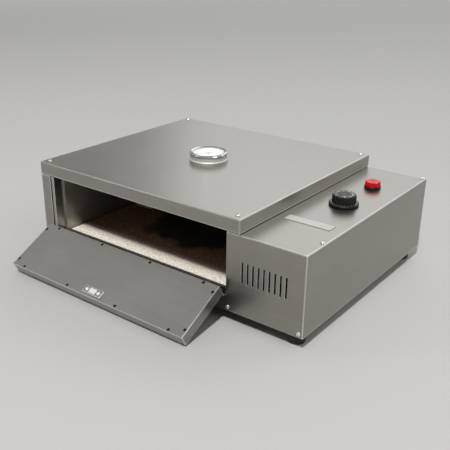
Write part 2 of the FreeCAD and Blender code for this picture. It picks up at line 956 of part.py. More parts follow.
# Ceramic wool round the chamber
def make_wool():
    wool_front = recess + s.plate
    keep(
        cabinet_block(
            "left_wool",
            (2 * s.plate, wool_front, s.plate),
            (liner_left - s.plate, s.depth - s.screw_length - s.hole_gap, ceiling),
        ),
        "left_insulation",
    )
    slab = cabinet_block(
        "right_wool_slab",
        (liner_right + s.plate, wool_front, s.plate),
        (partition_left, inner_rear, ceiling),
    )
    holes = wall_holes("right_wool", liner_right + s.plate, partition_left)
    keep(cut("right_wool_pierced", slab, holes), "right_insulation")
    keep(
        cabinet_block(
            "rear_wool_slab",
            (liner_left - s.plate, chamber_rear + s.plate, s.plate),
            (liner_right + s.plate, inner_rear, ceiling),
        ),
        "rear_insulation",
    )
    slab = cabinet_block(
        "top_wool_slab",
        (liner_left - s.plate, wool_front, s.body_height),
        (liner_right + s.plate, inner_rear, s.body_height + s.top_wool),
    )
    nut_hole = s.gauge_nut_radius + s.hole_gap
    hole = rod("top_wool_hole", at(gauge_x, gauge_y, s.body_height), nut_hole, s.top_wool)
    keep(cut("top_wool_pierced", slab, [hole]), "top_insulation")
    inset = s.stone_gap + s.support_width
    keep(
        cabinet_block(
            "floor_wool_slab",
            (liner_left, recess + inset, s.plate),
            (liner_right, chamber_rear - inset, s.plate + s.floor_wool),
        ),
        "floor_insulation",
    )


# Baking stone on two folded supports that stand on the pan
def make_stone():
    body = new_body("pizza_stone", at(0, 0, stone_bottom))
    outline = sketch_on(body, "XY_Plane")
    rectangle(
        outline,
        (liner_left + s.stone_gap, recess + s.stone_front_gap),
        (liner_right - s.stone_gap, chamber_rear - s.stone_gap),
    )
    pad(body, outline, s.stone_thickness)
    chamfer(body, s.stone_edge, lambda middle, along: near(middle.z, s.stone_thickness))
    keep(body, "pizza_stone")
    supports = []
    rear = chamber_rear - s.stone_gap
    front_edge = recess + s.stone_gap
    for name, low_y, high_y, leg_y in (
        ("front", front_edge, front_edge + s.support_width, front_edge),
        ("rear", rear - s.support_width, rear, rear - s.plate),
    ):
        shelf = cabinet_block(
            f"{name}_support_shelf",
            (liner_left, low_y, stone_bottom - s.plate),
            (liner_right, high_y, stone_bottom),
        )
        leg = cabinet_block(
            f"{name}_support_leg", (liner_left, leg_y, s.plate), (liner_right, leg_y + s.plate, stone_bottom)
        )
        supports.append(fuse(f"{name}_support", [shelf, leg]))
    keep(group("stone_supports", supports), "stone_supports")


# Tubular heating elements: four runs across the chamber, both ends out into the control box
def heater_corners(z):
    turn_left = liner_left + s.heater_margin
    turn_right = liner_right - s.heater_margin
    end = control_left + s.heater_tail
    across = [end, turn_left, turn_left, turn_right, turn_right, turn_left, turn_left, end]
    along = [row for row in heater_rows for _ in range(2)]
    return [(x, y, z) for x, y in zip(across, along)]


def make_heaters():
    turn = s.heater_pitch / 2
    keep(bent_tube("lower_heater", heater_corners(lower_heater_z), s.heater_radius, turn), "lower_heater")
    keep(bent_tube("upper_heater", heater_corners(upper_heater_z), s.heater_radius, turn), "upper_heater")
    hangers = []
    low = upper_heater_z - s.heater_radius - s.hanger_wall
    half = s.heater_radius + s.hanger_wall
    for column, x in enumerate((liner_left + s.hanger_inset, liner_right - s.hanger_inset)):
        for y in (heater_rows[0], heater_rows[3]):
            name = f"heater_hanger_{len(hangers) + 1}"
            strap = cabinet_block(name, (x, y - half, low), (x + s.hanger_width, y + half, ceiling))
            start = at(x, y, upper_heater_z)
            eye = rod(f"{name}_eye", start, s.heater_radius + s.hanger_fit, s.hanger_width, towards_right)
            hangers.append(cut(f"{name}_strap", strap, [eye]))
    keep(group("heater_hangers", hangers), "heater_hangers")
    terminal = turned(
        "terminal_model",
        [
            (0, 0),
            (s.bead_radius, 0),
            (s.bead_radius, s.bead_length),
            (s.stud_radius, s.bead_length),
            (s.stud_radius, s.bead_length + s.stud_length),
            (0, s.bead_length + s.stud_length),
        ],
    )
    end = control_left + s.heater_tail
    places = [(at(end, y, z), towards_right) for y, z in heater_ends]
    keep(copies("heater_terminals", terminal, places), "heater_terminals")


# Thermostat under the control cover, its sensing bulb on the chamber's right wall, and the knob
def make_thermostat():
    half_length = s.thermostat_length / 2
    half_width = s.thermostat_width / 2
    floor = ceiling - s.thermostat_height
    case = cabinet_block(
        "thermostat_case",
        (control_x - half_length, s.thermostat_y - half_width, floor),
        (control_x + half_length, s.thermostat_y + half_width, ceiling),
    )
    bush = rod(
        "thermostat_bush", at(control_x, s.thermostat_y, ceiling), s.bush_radius, s.plate + s.bush_rise
    )
    bore = rod(
        "thermostat_bore",
        at(control_x, s.thermostat_y, ceiling - s.shaft_depth),
        s.shaft_radius + s.shaft_fit,
        s.shaft_depth + s.plate + s.bush_rise,
    )
    threads = []
    for number, x in enumerate(fixings, start=1):
        start = at(x, s.thermostat_y, s.body_height - s.screw_length)
        threads.append(rod(f"thermostat_thread_{number}", start, s.screw_radius, s.screw_length))
    keep(cut("thermostat_bored", fuse("thermostat_solid", [case, bush]), [bore] + threads), "thermostat")
    bulb_x = liner_right - s.bulb_radius
    bulb_y = s.thermostat_y + s.bulb_lead
    bulb = rod("sensing_bulb_body", at(bulb_x, bulb_y, bulb_z), s.bulb_radius, s.bulb_length, towards_rear)
    lead = bent_tube(
        "sensing_bulb_lead",
        [
            (bulb_x, bulb_y, bulb_z),
            (bulb_x, s.thermostat_y, bulb_z),
            (control_x - half_length, s.thermostat_y, bulb_z),
        ],
        s.capillary_radius,
        s.capillary_bend,
    )
    keep(fuse("sensing_bulb", [bulb, lead]), "sensing_bulb")


def make_knob():
    top = s.shaft_rise
    shaft_low = -s.plate - s.shaft_depth + s.stop_gap
    keep(
        rod(
            "thermostat_shaft",
            at(control_x, s.thermostat_y, s.body_height + shaft_low),
            s.shaft_radius,
            top - shaft_low,
        ),
        "thermostat_shaft",
    )
    low = s.knob_lift
    roof = low + s.knob_cavity_height
    body = turned(
        "knob",
        [
            (s.knob_cavity_radius, low),
            (s.skirt_radius, low),
            (s.skirt_radius, low + s.skirt_height - s.skirt_edge),
            (s.skirt_radius - s.skirt_edge, low + s.skirt_height),
            (s.cap_radius, low + s.skirt_height),
            (s.cap_radius, low + s.knob_height - s.cap_edge),
            (s.cap_radius - s.cap_edge, low + s.knob_height),
            (0, low + s.knob_height),
            (0, top),
            (s.shaft_radius, top),
            (s.shaft_radius, roof),
            (s.knob_cavity_radius, roof),
        ],
        at(control_x, s.thermostat_y, s.body_height),
    )
    doc.recompute()
    flute = sketch_on(body, "XY_Plane", low + s.knob_height)
    circle(flute, (s.cap_radius + s.flute_radius - s.flute_depth, zero), s.flute_radius)
    first = pocket(body, flute, s.knob_height - s.skirt_height)
    pattern = body.newObject("PartDesign::PolarPattern", "knob_flutes")
    pattern.Originals = [first]
    pattern.Axis = (flute, ["N_Axis"])
    pattern.Angle = 360
    pattern.Occurrences = flute_count
    body.Tip = pattern
    keep(body, "knob")


# Pilot lamp: base ring with its barrel through the cover, lens, glow lamp and nut
def make_pilot_lamp():
    where = at(control_x, s.lamp_y, s.body_height)
    base = turned(
        "pilot_lamp_base",
        [
            (0, -s.barrel_depth),
            (s.barrel_radius, -s.barrel_depth),
            (s.barrel_radius, 0),
            (s.lamp_radius, 0),
            (s.lamp_radius, s.lamp_ring - s.lamp_edge),
            (s.lamp_radius - s.lamp_edge, s.lamp_ring),
            (0, s.lamp_ring),
        ],
        where,
    )
    keep(base, "pilot_lamp_base")
    top = s.lamp_ring + s.lens_height
    inside = s.lens_radius - s.lens_wall
    lens = turned(
        "pilot_lens",
        [
            (inside, s.lamp_ring),
            (s.lens_radius, s.lamp_ring),
            (s.lens_radius, top - s.lens_edge),
            (s.lens_radius - s.lens_edge, top),
            (0, top),
            (0, top - s.lens_wall),
            (inside, top - s.lens_wall),
        ],
        where,
    )
    keep(lens, "pilot_lens")
    glow = turned(
        "pilot_bulb",
        [
            (0, s.lamp_ring),
            (s.glow_radius, s.lamp_ring),
            (s.glow_radius, s.lamp_ring + s.glow_height / 2),
            (s.glow_radius / 2, s.lamp_ring + s.glow_height),
            (0, s.lamp_ring + s.glow_height),
        ],
        where,
    )
    keep(glow, "pilot_bulb")


def make_name_plate():
    x = width - s.name_inset
    keep(
        cabinet_block(
            "name_plate",
            (x - s.name_length / 2, s.name_y - s.name_width / 2, s.body_height),
            (x + s.name_length / 2, s.name_y + s.name_width / 2, s.body_height + s.name_thickness),
        ),
        "name_plate",
    )


# Dial thermometer: case with dial and glass under a bezel, stem down into the chamber
def make_thermometer():
    where = at(gauge_x, gauge_y, lid_top)
    case_radius = s.bezel_radius - s.bezel_wall
    glass_top = s.thermometer_height - s.bezel_wall
    glass_low = glass_top - s.glass_thickness
    dial_top = s.dial_rise + s.dial_thickness
    inside = case_radius - s.case_wall
    case_outer = s.bezel_radius - s.case_inset
    bead_radius = s.bezel_radius + s.bead
    case = turned(
        "thermometer_case",
        [
            (s.stem_radius, 0),
            (bead_radius, 0),
            (bead_radius, s.bead_height - s.bead_edge),
            (bead_radius - s.bead_edge, s.bead_height),
            (case_outer, s.bead_height),
            (case_outer, s.case_step),
            (case_radius, s.case_step),
            (case_radius, glass_low),
            (inside, glass_low),
            (inside, s.dial_rise),
            (s.stem_radius, s.dial_rise),
        ],
        where,
    )
    keep(case, "thermometer_case")
    bezel = turned(
        "thermometer_bezel",
        [
            (case_radius, s.bezel_lift),
            (s.bezel_radius, s.bezel_lift),
            (s.bezel_radius, s.thermometer_height - s.bezel_shoulder),
            (s.bezel_radius - s.bezel_shoulder / 3, s.thermometer_height - s.bezel_shoulder / 3),
            (s.bezel_radius - s.bezel_shoulder, s.thermometer_height),
            (s.bezel_radius - s.bezel_lip, glass_top + s.bezel_wall / 3),
            (s.bezel_radius - s.bezel_lip, glass_top),
            (case_radius, glass_top),
        ],
        where,
    )
    keep(bezel, "thermometer_bezel")
    pane = at(gauge_x, gauge_y, lid_top + glass_low)
    keep(rod("thermometer_glass", pane, case_radius, s.glass_thickness), "thermometer_glass")
    dial = turned("thermometer_dial", ring_profile(s.dial_hole, inside, s.dial_rise, dial_top), where)
    keep(dial, "thermometer_dial")
    stem_low = ceiling - s.stem_reach - lid_top
    bore = s.spindle_radius + s.spindle_fit
    bore_low = dial_top - s.spindle_depth
    stem = turned(
        "thermometer_stem",
        [
            (0, stem_low),
            (s.stem_radius, stem_low),
            (s.stem_radius, -s.neck_length),
            (s.neck_radius, -s.neck_length),
            (s.neck_radius, 0),
            (s.stem_radius, 0),
            (s.stem_radius, s.dial_rise),
            (bore, s.dial_rise),
            (bore, bore_low),
            (0, bore_low),
        ],
        where,
    )
    keep(stem, "thermometer_stem")


def make_pointer():
    low = lid_top + s.dial_rise + s.dial_thickness + s.pointer_lift
    half = s.pointer_width / 2
    turn = Rotation(Vector(0, 0, 1), s.pointer_turn.number)
    body = new_body("pointer_needle", at(gauge_x, gauge_y, low), turn)
    bind(body, "Placement.Rotation.Angle", s.pointer_turn)
    outline = sketch_on(body, "XY_Plane")
    polygon(
        outline,
        [
            (-half, -s.pointer_tail),
            (half, -s.pointer_tail),
            (half, 0),
            (half / 4, s.pointer_length),
            (-half / 4, s.pointer_length),
            (-half, 0),
        ],
    )
    pad(body, outline, s.pointer_thickness)
    hub = rod("pointer_hub", at(gauge_x, gauge_y, low), s.hub_radius, s.pointer_thickness * 2)
    spindle_low = low - s.pointer_lift - s.spindle_depth + s.stop_gap
    spindle = rod("pointer_spindle", at(gauge_x, gauge_y, spindle_low), s.spindle_radius, low - spindle_low)
    keep(fuse("thermometer_pointer", [body, hub, spindle]), "thermometer_pointer")


# Terminal block on the pan, the wires that join it up, and the cable gland in the rear panel
def make_electrics():
    block_left = control_left + s.block_inset
    block_right = block_left + s.block_length
    block_rear = inner_rear - s.block_rear_gap
    block_front = block_rear - s.block_width
    block_top = s.plate + s.block_height
    keep(
        cabinet_block(
            "terminal_block",
            (block_left, block_front, s.plate),
            (block_right, block_rear, block_top),
        ),
        "terminal_block",
    )
    tip = control_left + s.heater_tail + s.bead_length + s.stud_length
    thermostat_front = s.thermostat_y - s.thermostat_width / 2
    thermostat_rear = s.thermostat_y + s.thermostat_width / 2
    near_row = heater_rows[0]
    far_row = heater_rows[3]
    block_y = (block_front + block_rear) / 2
    feed_x = control_x - s.wire_side
    lower_x = control_x + s.wire_side
    drop_x = tip + s.wire_side
    switch_z = ceiling - s.thermostat_height / 2
    lamp_low = s.body_height - s.barrel_depth
    return_x = block_left + s.wire_side
    routes = [
        [
            (tip, near_row, upper_heater_z),
            (feed_x, near_row, upper_heater_z),
            (feed_x, thermostat_front, upper_heater_z),
        ],
        [
            (tip, near_row, lower_heater_z),
            (lower_x, near_row, lower_heater_z),
            (lower_x, near_row + s.wire_low, switch_z),
            (lower_x, thermostat_front, switch_z),
        ],
        [
            (tip, far_row, upper_heater_z),
            (drop_x, far_row, upper_heater_z),
            (drop_x, block_y, s.wire_low),
            (drop_x, block_y, block_top),
        ],
        [
            (tip, far_row, lower_heater_z),
            (drop_x, far_row, lower_heater_z),
            (drop_x, block_front, lower_heater_z),
        ],
        [
            (control_x, s.lamp_y, lamp_low),
            (control_x, s.lamp_y, s.wire_low),
            (control_x, block_y, s.wire_low),
            (control_x, block_y, block_top),
        ],
        [
            (feed_x, thermostat_rear, switch_z),
            (feed_x, s.lamp_y - s.wire_low, switch_z),
            (return_x, block_y, s.wire_low),
            (return_x, block_y, block_top),
        ],
    ]
    wires = [
        bent_tube(f"wire_{number}", route, s.wire_radius, s.wire_bend)
        for number, route in enumerate(routes, start=1)
    ]
    keep(group("wiring", wires), "wiring")
    where = at(gland_x, s.depth, s.gland_rise)
    thread_end = -s.plate - s.gland_nut_height - s.plate
    gland = turned(
        "cable_gland",
        [
            (s.gland_bore, thread_end),
            (s.gland_thread_radius, thread_end),
            (s.gland_thread_radius, 0),
            (s.gland_radius, 0),
            (s.gland_radius, s.gland_collar),
            (s.gland_dome_radius, s.gland_length),
            (s.gland_bore, s.gland_length),
        ],
        where,
        towards_rear,
    )
    keep(gland, "cable_gland")


# Ring nuts behind the panels: on the pilot lamp's barrel, the thermometer's neck and the gland's thread
def make_lock_nuts():
    top = -s.plate
    lamp = turned(
        "lamp_nut",
        ring_profile(s.barrel_radius, s.lamp_radius, top - s.lamp_nut_height, top),
        at(control_x, s.lamp_y, s.body_height),
    )
    gauge = turned(
        "gauge_nut",
        ring_profile(s.neck_radius, s.gauge_nut_radius, top - s.gauge_nut_height, top),
        at(gauge_x, gauge_y, lid_top),
    )
    gland = turned(
        "gland_nut",
        ring_profile(s.gland_thread_radius, s.gland_radius, top - s.gland_nut_height, top),
        at(gland_x, s.depth, s.gland_rise),
        towards_rear,
    )
    keep(group("lock_nuts", [lamp, gauge, gland]), "lock_nuts")


# Screws that hold the panels, the cover, the thermostat, the lid and the feet
def make_screws():
    screw = turned("panel_screw_model", panel_screw_profile(s.screw_length))
    places = [(at(x, 0, z), towards_front) for x, z in front_screws]
    places += [(at(x, s.depth, z), towards_rear) for x, z in rear_screws]
    places += [(at(x, y, s.body_height), upright) for x, y in cover_screws]
    places += [(at(x, s.thermostat_y, s.body_height), upright) for x in fixings]
    places += [(at(x, y, lid_top), upright) for x, y in lid_screws]
    keep(copies("panel_screws", screw, places), "panel_screws")
    long_screw = turned("foot_screw_model", panel_screw_profile(s.foot_floor + s.plate))
    places = [(at(x, y, -s.foot_floor), upside_down) for x, y in feet]
    keep(copies("foot_screws", long_screw, places), "foot_screws")


def make_feet():
    foot = turned(
        "foot_model",
        [
            (s.foot_bore, -s.foot_height),
            (s.foot_sole_radius, -s.foot_height),
            (s.foot_radius, 0),
            (s.screw_radius, 0),
            (s.screw_radius, -s.foot_floor),
            (s.foot_bore, -s.foot_floor),
        ],
    )
    keep(copies("rubber_feet", foot, [(at(x, y, 0), upright) for x, y in feet]), "rubber_feet")


# Piano hinge: knuckles of the two leaves take turns along one pin
hinge_left = door_left + s.leaf_inset
hinge_length = door_right - door_left - 2 * s.leaf_inset
knuckle_pitch = hinge_length / knuckle_count


# One leaf in the closed door's frame: its flat, a tab and a knuckle at every second place.
def hinge_leaf(name, first, low, high, bore):
    reach = s.hinge_forward
    far = (hinge_left + hinge_length, reach + s.leaf_width, high)
    pieces = [block(f"{name}_flat", (hinge_left, reach, low), far)]
    for number in range(first, knuckle_count, 2):
        start = hinge_left + knuckle_pitch * number + s.knuckle_gap / 2
        length = knuckle_pitch - s.knuckle_gap
        pieces.append(block(f"{name}_tab_{number}", (start, 0, low), (start + length, reach + s.leaf, high)))
        knuckle = rod(f"{name}_knuckle_{number}", (start, 0, 0), s.knuckle_radius, length, towards_right)
        pieces.append(knuckle)
    eye = rod(f"{name}_eye", (hinge_left, 0, 0), bore, hinge_length, towards_right)
    return cut(name, fuse(f"{name}_solid", pieces), [eye])


def make_hinge():
    low = s.leaf_gap / 2
    fixed = hinge_leaf("hinge_leaf_fixed", 0, -door_low, -low, s.pin_radius)
    place(fixed, at(0, -s.hinge_forward, s.hinge_rise))
    keep(fixed, "hinge_leaf_fixed")
    keep(hang(hinge_leaf("hinge_leaf_door", 1, low, door_low, s.pin_radius + s.pin_fit)), "hinge_leaf_door")
    start = at(hinge_left, -s.hinge_forward, s.hinge_rise)
    keep(rod("hinge_pin", start, s.pin_radius, hinge_length, towards_right), "hinge_pin")


# Door: outer pan with folded lips, inner plate, wool, flush screws, strike plate and pull
def door_screw_places():
    middle = (door_low + door_high) / 2
    side_rows = (middle - s.door_side_pitch / 2, middle + s.door_side_pitch / 2)
    edge_rows = (door_low + s.door_screw_inset, door_high - s.door_screw_inset)
    places = []
    for column in range(door_screw_columns):
        x = door_middle + s.door_screw_pitch * (column - (door_screw_columns - 1) / 2)
        places += [(x, z) for z in edge_rows]
    for x in (door_left + s.door_screw_inset, door_right - s.door_screw_inset):
        places += [(x, z) for z in side_rows]
    return places


def make_door():
    plate_back = door_inner - s.plate
    screws = door_screw_places()
    pull_z = door_low + s.pull_rise
    strike_z = door_high - s.strike_drop
    strike_xs = (door_middle - s.strike_screw_pitch / 2, door_middle + s.strike_screw_pitch / 2)

    pan = new_body("door_outer_pan_sheet")
    outline = sketch_on(pan, "XZ_Plane", -door_outer)
    rectangle(outline, (door_left, door_low), (door_right, door_high))
    pad(pan, outline, s.door_thickness - s.plate, backwards=True)
    fillet(pan, s.door_bend, lambda middle, along: near(middle.y, door_outer))
    mouth = sketch_on(pan, "XZ_Plane", -plate_back)
    rim = s.plate + s.door_lip
    rectangle(mouth, (door_left + rim, door_low + rim), (door_right - rim, door_high - rim))
    pocket(pan, mouth, s.plate, backwards=True)
    inside = block(
        "door_outer_pan_inside",
        (door_left + s.plate, door_outer + s.plate, door_low + s.plate),
        (door_right - s.plate, plate_back - s.plate, door_high - s.plate),
    )
    tools = [inside]
    for number, (x, z) in enumerate(screws, start=1):
        start = (x, plate_back - s.plate, z)
        tools.append(rod(f"door_lip_hole_{number}", start, s.door_screw_radius, s.plate, towards_rear))
    start = (door_middle, door_outer, pull_z)
    tools.append(rod("door_pull_hole", start, s.pull_screw_radius, s.plate, towards_rear))
    keep(hang(cut("door_outer_pan", pan, tools)), "door_outer_pan")

    inner = new_body("door_inner_plate_sheet")
    outline = sketch_on(inner, "XZ_Plane", -plate_back)
    rectangle(outline, (door_left, door_low), (door_right, door_high))
    pad(inner, outline, s.plate, backwards=True)
    holes = sketch_on(inner, "XZ_Plane", -plate_back)
    for point in screws:
        circle(holes, point, s.door_screw_head)
    for x in strike_xs:
        circle(holes, (x, strike_z), s.strike_screw_radius)
    pocket(inner, holes, s.plate)
    keep(hang(inner), "door_inner_plate")

    gap = rim + s.door_wool_gap
    wool = block(
        "door_wool_slab",
        (door_left + gap, door_outer + s.plate, door_low + gap),
        (door_right - gap, plate_back, door_high - gap),
    )
    recess_for_screw = rod(
        "door_wool_recess",
        (door_middle, door_outer + s.plate, pull_z),
        s.pull_screw_head + s.hole_gap,
        s.pull_screw_height + s.hole_gap,
        towards_rear,
    )
    keep(hang(cut("door_insulation", wool, [recess_for_screw])), "door_insulation")

    flush = turned(
        "door_screw_model",
        [
            (0, -s.door_screw_length),
            (s.door_screw_radius, -s.door_screw_length),
            (s.door_screw_radius, -s.plate),
            (s.door_screw_head, -s.plate),
            (s.door_screw_head, 0),
            (0, 0),
        ],
    )
    places = [((x, door_inner, z), towards_rear) for x, z in screws]
    keep(hang(copies("door_screws", flush, places)), "door_screws")

    strike = block(
        "strike_plate_flat",
        (door_middle - s.strike_length / 2, door_inner, strike_z - s.strike_width / 2),
        (door_middle + s.strike_length / 2, door_inner + s.strike_thickness, strike_z + s.strike_width / 2),
    )
    holes = []
    for number, x in enumerate(strike_xs, start=1):
        start = (x, door_inner, strike_z)
        hole = rod(f"strike_hole_{number}", start, s.strike_screw_head, s.strike_thickness, towards_rear)
        holes.append(hole)
    keep(hang(cut("strike_plate", strike, holes)), "strike_plate")
    model = turned(
        "strike_screw_model",
        [
            (0, -s.strike_thickness - s.plate),
            (s.strike_screw_radius, -s.strike_thickness - s.plate),
            (s.strike_screw_radius, -s.strike_thickness),
            (s.strike_screw_head, -s.strike_thickness),
            (s.strike_screw_head, 0),
            (0, 0),
        ],
    )
    places = [((x, door_inner + s.strike_thickness, strike_z), towards_rear) for x in strike_xs]
    keep(hang(copies("strike_screws", model, places)), "strike_screws")

    shoulder = s.pull_height - s.pull_cap
    pull = turned(
        "door_pull_model",
        [
            (s.pull_screw_radius, 0),
            (s.pull_base, 0),
            (s.pull_neck, shoulder),
            (s.pull_radius, shoulder + s.pull_edge),
            (s.pull_radius, s.pull_height - s.pull_edge),
            (s.pull_radius - s.pull_edge, s.pull_height),
            (0, s.pull_height),
            (0, shoulder),
            (s.pull_screw_radius, shoulder),
        ],
    )
    place_on_door = [((door_middle, door_outer, pull_z), towards_front)]
    keep(hang(copies("door_pull", pull, place_on_door)), "door_pull")
    screw = turned(
        "door_pull_screw_model",
        [
            (0, -s.pull_screw_height),
            (s.pull_screw_head, -s.pull_screw_height),
            (s.pull_screw_head, 0),
            (s.pull_screw_radius, 0),
            (s.pull_screw_radius, s.plate + shoulder),
            (0, s.plate + shoulder),
        ],
    )
    place_on_door = [((door_middle, door_outer + s.plate, pull_z), towards_front)]
    keep(hang(copies("door_pull_screw", screw, place_on_door)), "door_pull_screw")


# Magnetic catch under the ceiling, just behind the closed door's strike plate
def make_catch():
    face = s.door_thickness + s.strike_thickness + s.catch_gap
    catch_left = door_middle + s.catch_shift - s.catch_length / 2
    catch_right = catch_left + s.catch_length
    housing = cabinet_block(
        "door_catch_housing",
        (catch_left, face, ceiling - s.catch_height),
        (catch_right, face + s.catch_depth, ceiling),
    )
    groove = cabinet_block(
        "door_catch_groove",
        (catch_left, face + s.catch_depth / 2, ceiling - s.catch_height),
        (catch_right, face + s.catch_depth / 2 + s.catch_slot, ceiling - s.catch_height / 2),
    )
    keep(cut("door_catch", housing, [groove]), "door_catch")


make_base_pan()
make_front_panel()
make_left_side_panel()
make_rear_panel()
make_control_cover()
make_cover_rail()
make_lid()
make_lid_brackets()
make_partition()
make_jambs()
make_chamber()
make_wool()
make_stone()
make_heaters()
make_thermostat()
make_knob()
make_pilot_lamp()
make_name_plate()
make_thermometer()
make_pointer()
make_electrics()
make_lock_nuts()
make_screws()
make_feet()
make_hinge()
make_door()
make_catch()
doc.recompute()

faults = [thing.Name for thing in doc.Objects if "Invalid" in thing.State or "Error" in thing.State]
for label, thing in sub_parts.items():
    shape = thing.Shape
    if shape.isNull() or not shape.isValid() or not shape.Solids:
        faults.append(label)
if faults:
    raise RuntimeError("these pieces failed: " + ", ".join(faults))

os.makedirs("parts", exist_ok=True)
for label, thing in sub_parts.items():
    thing.Shape.exportStep(f"parts/{label}.step")
print(f"{len(sub_parts)} sub-parts written")
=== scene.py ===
import json
import math

import bmesh
import bpy
from mathutils import Matrix, Vector


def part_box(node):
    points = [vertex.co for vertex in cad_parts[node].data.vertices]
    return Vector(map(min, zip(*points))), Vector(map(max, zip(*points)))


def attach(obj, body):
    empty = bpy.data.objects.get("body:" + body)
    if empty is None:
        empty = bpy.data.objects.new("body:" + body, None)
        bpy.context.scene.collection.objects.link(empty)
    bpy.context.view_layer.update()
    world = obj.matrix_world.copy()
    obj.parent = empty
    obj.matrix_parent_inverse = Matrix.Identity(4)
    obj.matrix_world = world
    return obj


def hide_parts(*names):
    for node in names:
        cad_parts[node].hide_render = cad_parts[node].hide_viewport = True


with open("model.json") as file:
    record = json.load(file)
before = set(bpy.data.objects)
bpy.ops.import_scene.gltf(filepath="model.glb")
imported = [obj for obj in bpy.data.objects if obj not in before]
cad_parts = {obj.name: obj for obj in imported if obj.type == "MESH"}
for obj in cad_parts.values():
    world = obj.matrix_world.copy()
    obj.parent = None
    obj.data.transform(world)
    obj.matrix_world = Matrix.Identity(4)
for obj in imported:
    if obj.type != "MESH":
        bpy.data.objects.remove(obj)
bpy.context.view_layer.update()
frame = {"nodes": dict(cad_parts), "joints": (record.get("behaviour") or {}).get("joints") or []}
nodes = frame["nodes"]
mm = 0.001
print("frame:", len(nodes), "nodes")

# Edges of the cabinet that the pieces below are measured from
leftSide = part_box("left_side_panel")[0].x
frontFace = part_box("front_panel")[0].y
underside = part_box("base_pan")[0].z
lidLow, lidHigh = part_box("lid")
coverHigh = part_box("control_cover")[1]


def hexToLinear(code):
    parts = [int(code[i:i + 2], 16) / 255 for i in (1, 3, 5)]
    linear = [p / 12.92 if p <= 0.04045 else ((p + 0.055) / 1.055) ** 2.4 for p in parts]
    return (*linear, 1.0)


def perMetre(sizeMm):
    return 1000 / sizeMm


def addNode(tree, kind, settings, inputs):
    node = tree.nodes.new("ShaderNode" + kind)
    for name, value in settings.items():
        setattr(node, name, value)
    for name, value in inputs.items():
        if isinstance(value, bpy.types.NodeSocket):
            tree.links.new(value, node.inputs[name])
        else:
            node.inputs[name].default_value = value
    return node


def newMaterial(name):
    material = bpy.data.materials.new(name)
    material.use_nodes = True
    tree = material.node_tree
    return material, tree, tree.nodes["Principled BSDF"]


def dress(material, *names):
    for name in names:
        nodes[name].data.materials.clear()
        nodes[name].data.materials.append(material)


def addPiece(name, mesh, material, body, *replaced):
    piece = bpy.data.objects.new(name, mesh)
    bpy.context.scene.collection.objects.link(piece)
    mesh.materials.clear()
    mesh.materials.append(material)
    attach(piece, body)
    if replaced:
        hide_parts(*replaced)


# Stainless sheet, brushed along one way: fine lines that soften the highlights, faint handling smears,
# and a painted highlight along the folds and cut edges
stainless = {
    "colour": "#a09e99",
    "lineColour": "#95938d",
    # painted highlight along folds and cut edges: its pale colour here, its width and strength below
    "highlightColour": "#efeeea",
    "roughLow": 0.28,
    "roughHigh": 0.36,
    "lineWidth": 1.1,     # real lines are near 0.1 mm, drawn wider so that they show
    "lineLength": 160,
    "smearSize": 75,
    "lineHeight": 0.002,
    "edgeRadius": 0.9,
    "highlightWidth": 2.4,
    "highlightMost": 0.9,
}

# How lines and smears are mixed, and how far the eased normal leans on a flat face and on an edge with the
# painted highlight
brushing = {
    "lineDetail": 3.0, "lineGrain": 0.6, "smearDetail": 4.0, "smearGrain": 0.55, "smearShare": 0.4,
    "noiseLow": 0.35, "noiseHigh": 0.65, "endOn": 0.7, "bump": 0.4, "flatLean": 0.998, "edgeLean": 0.94,
}


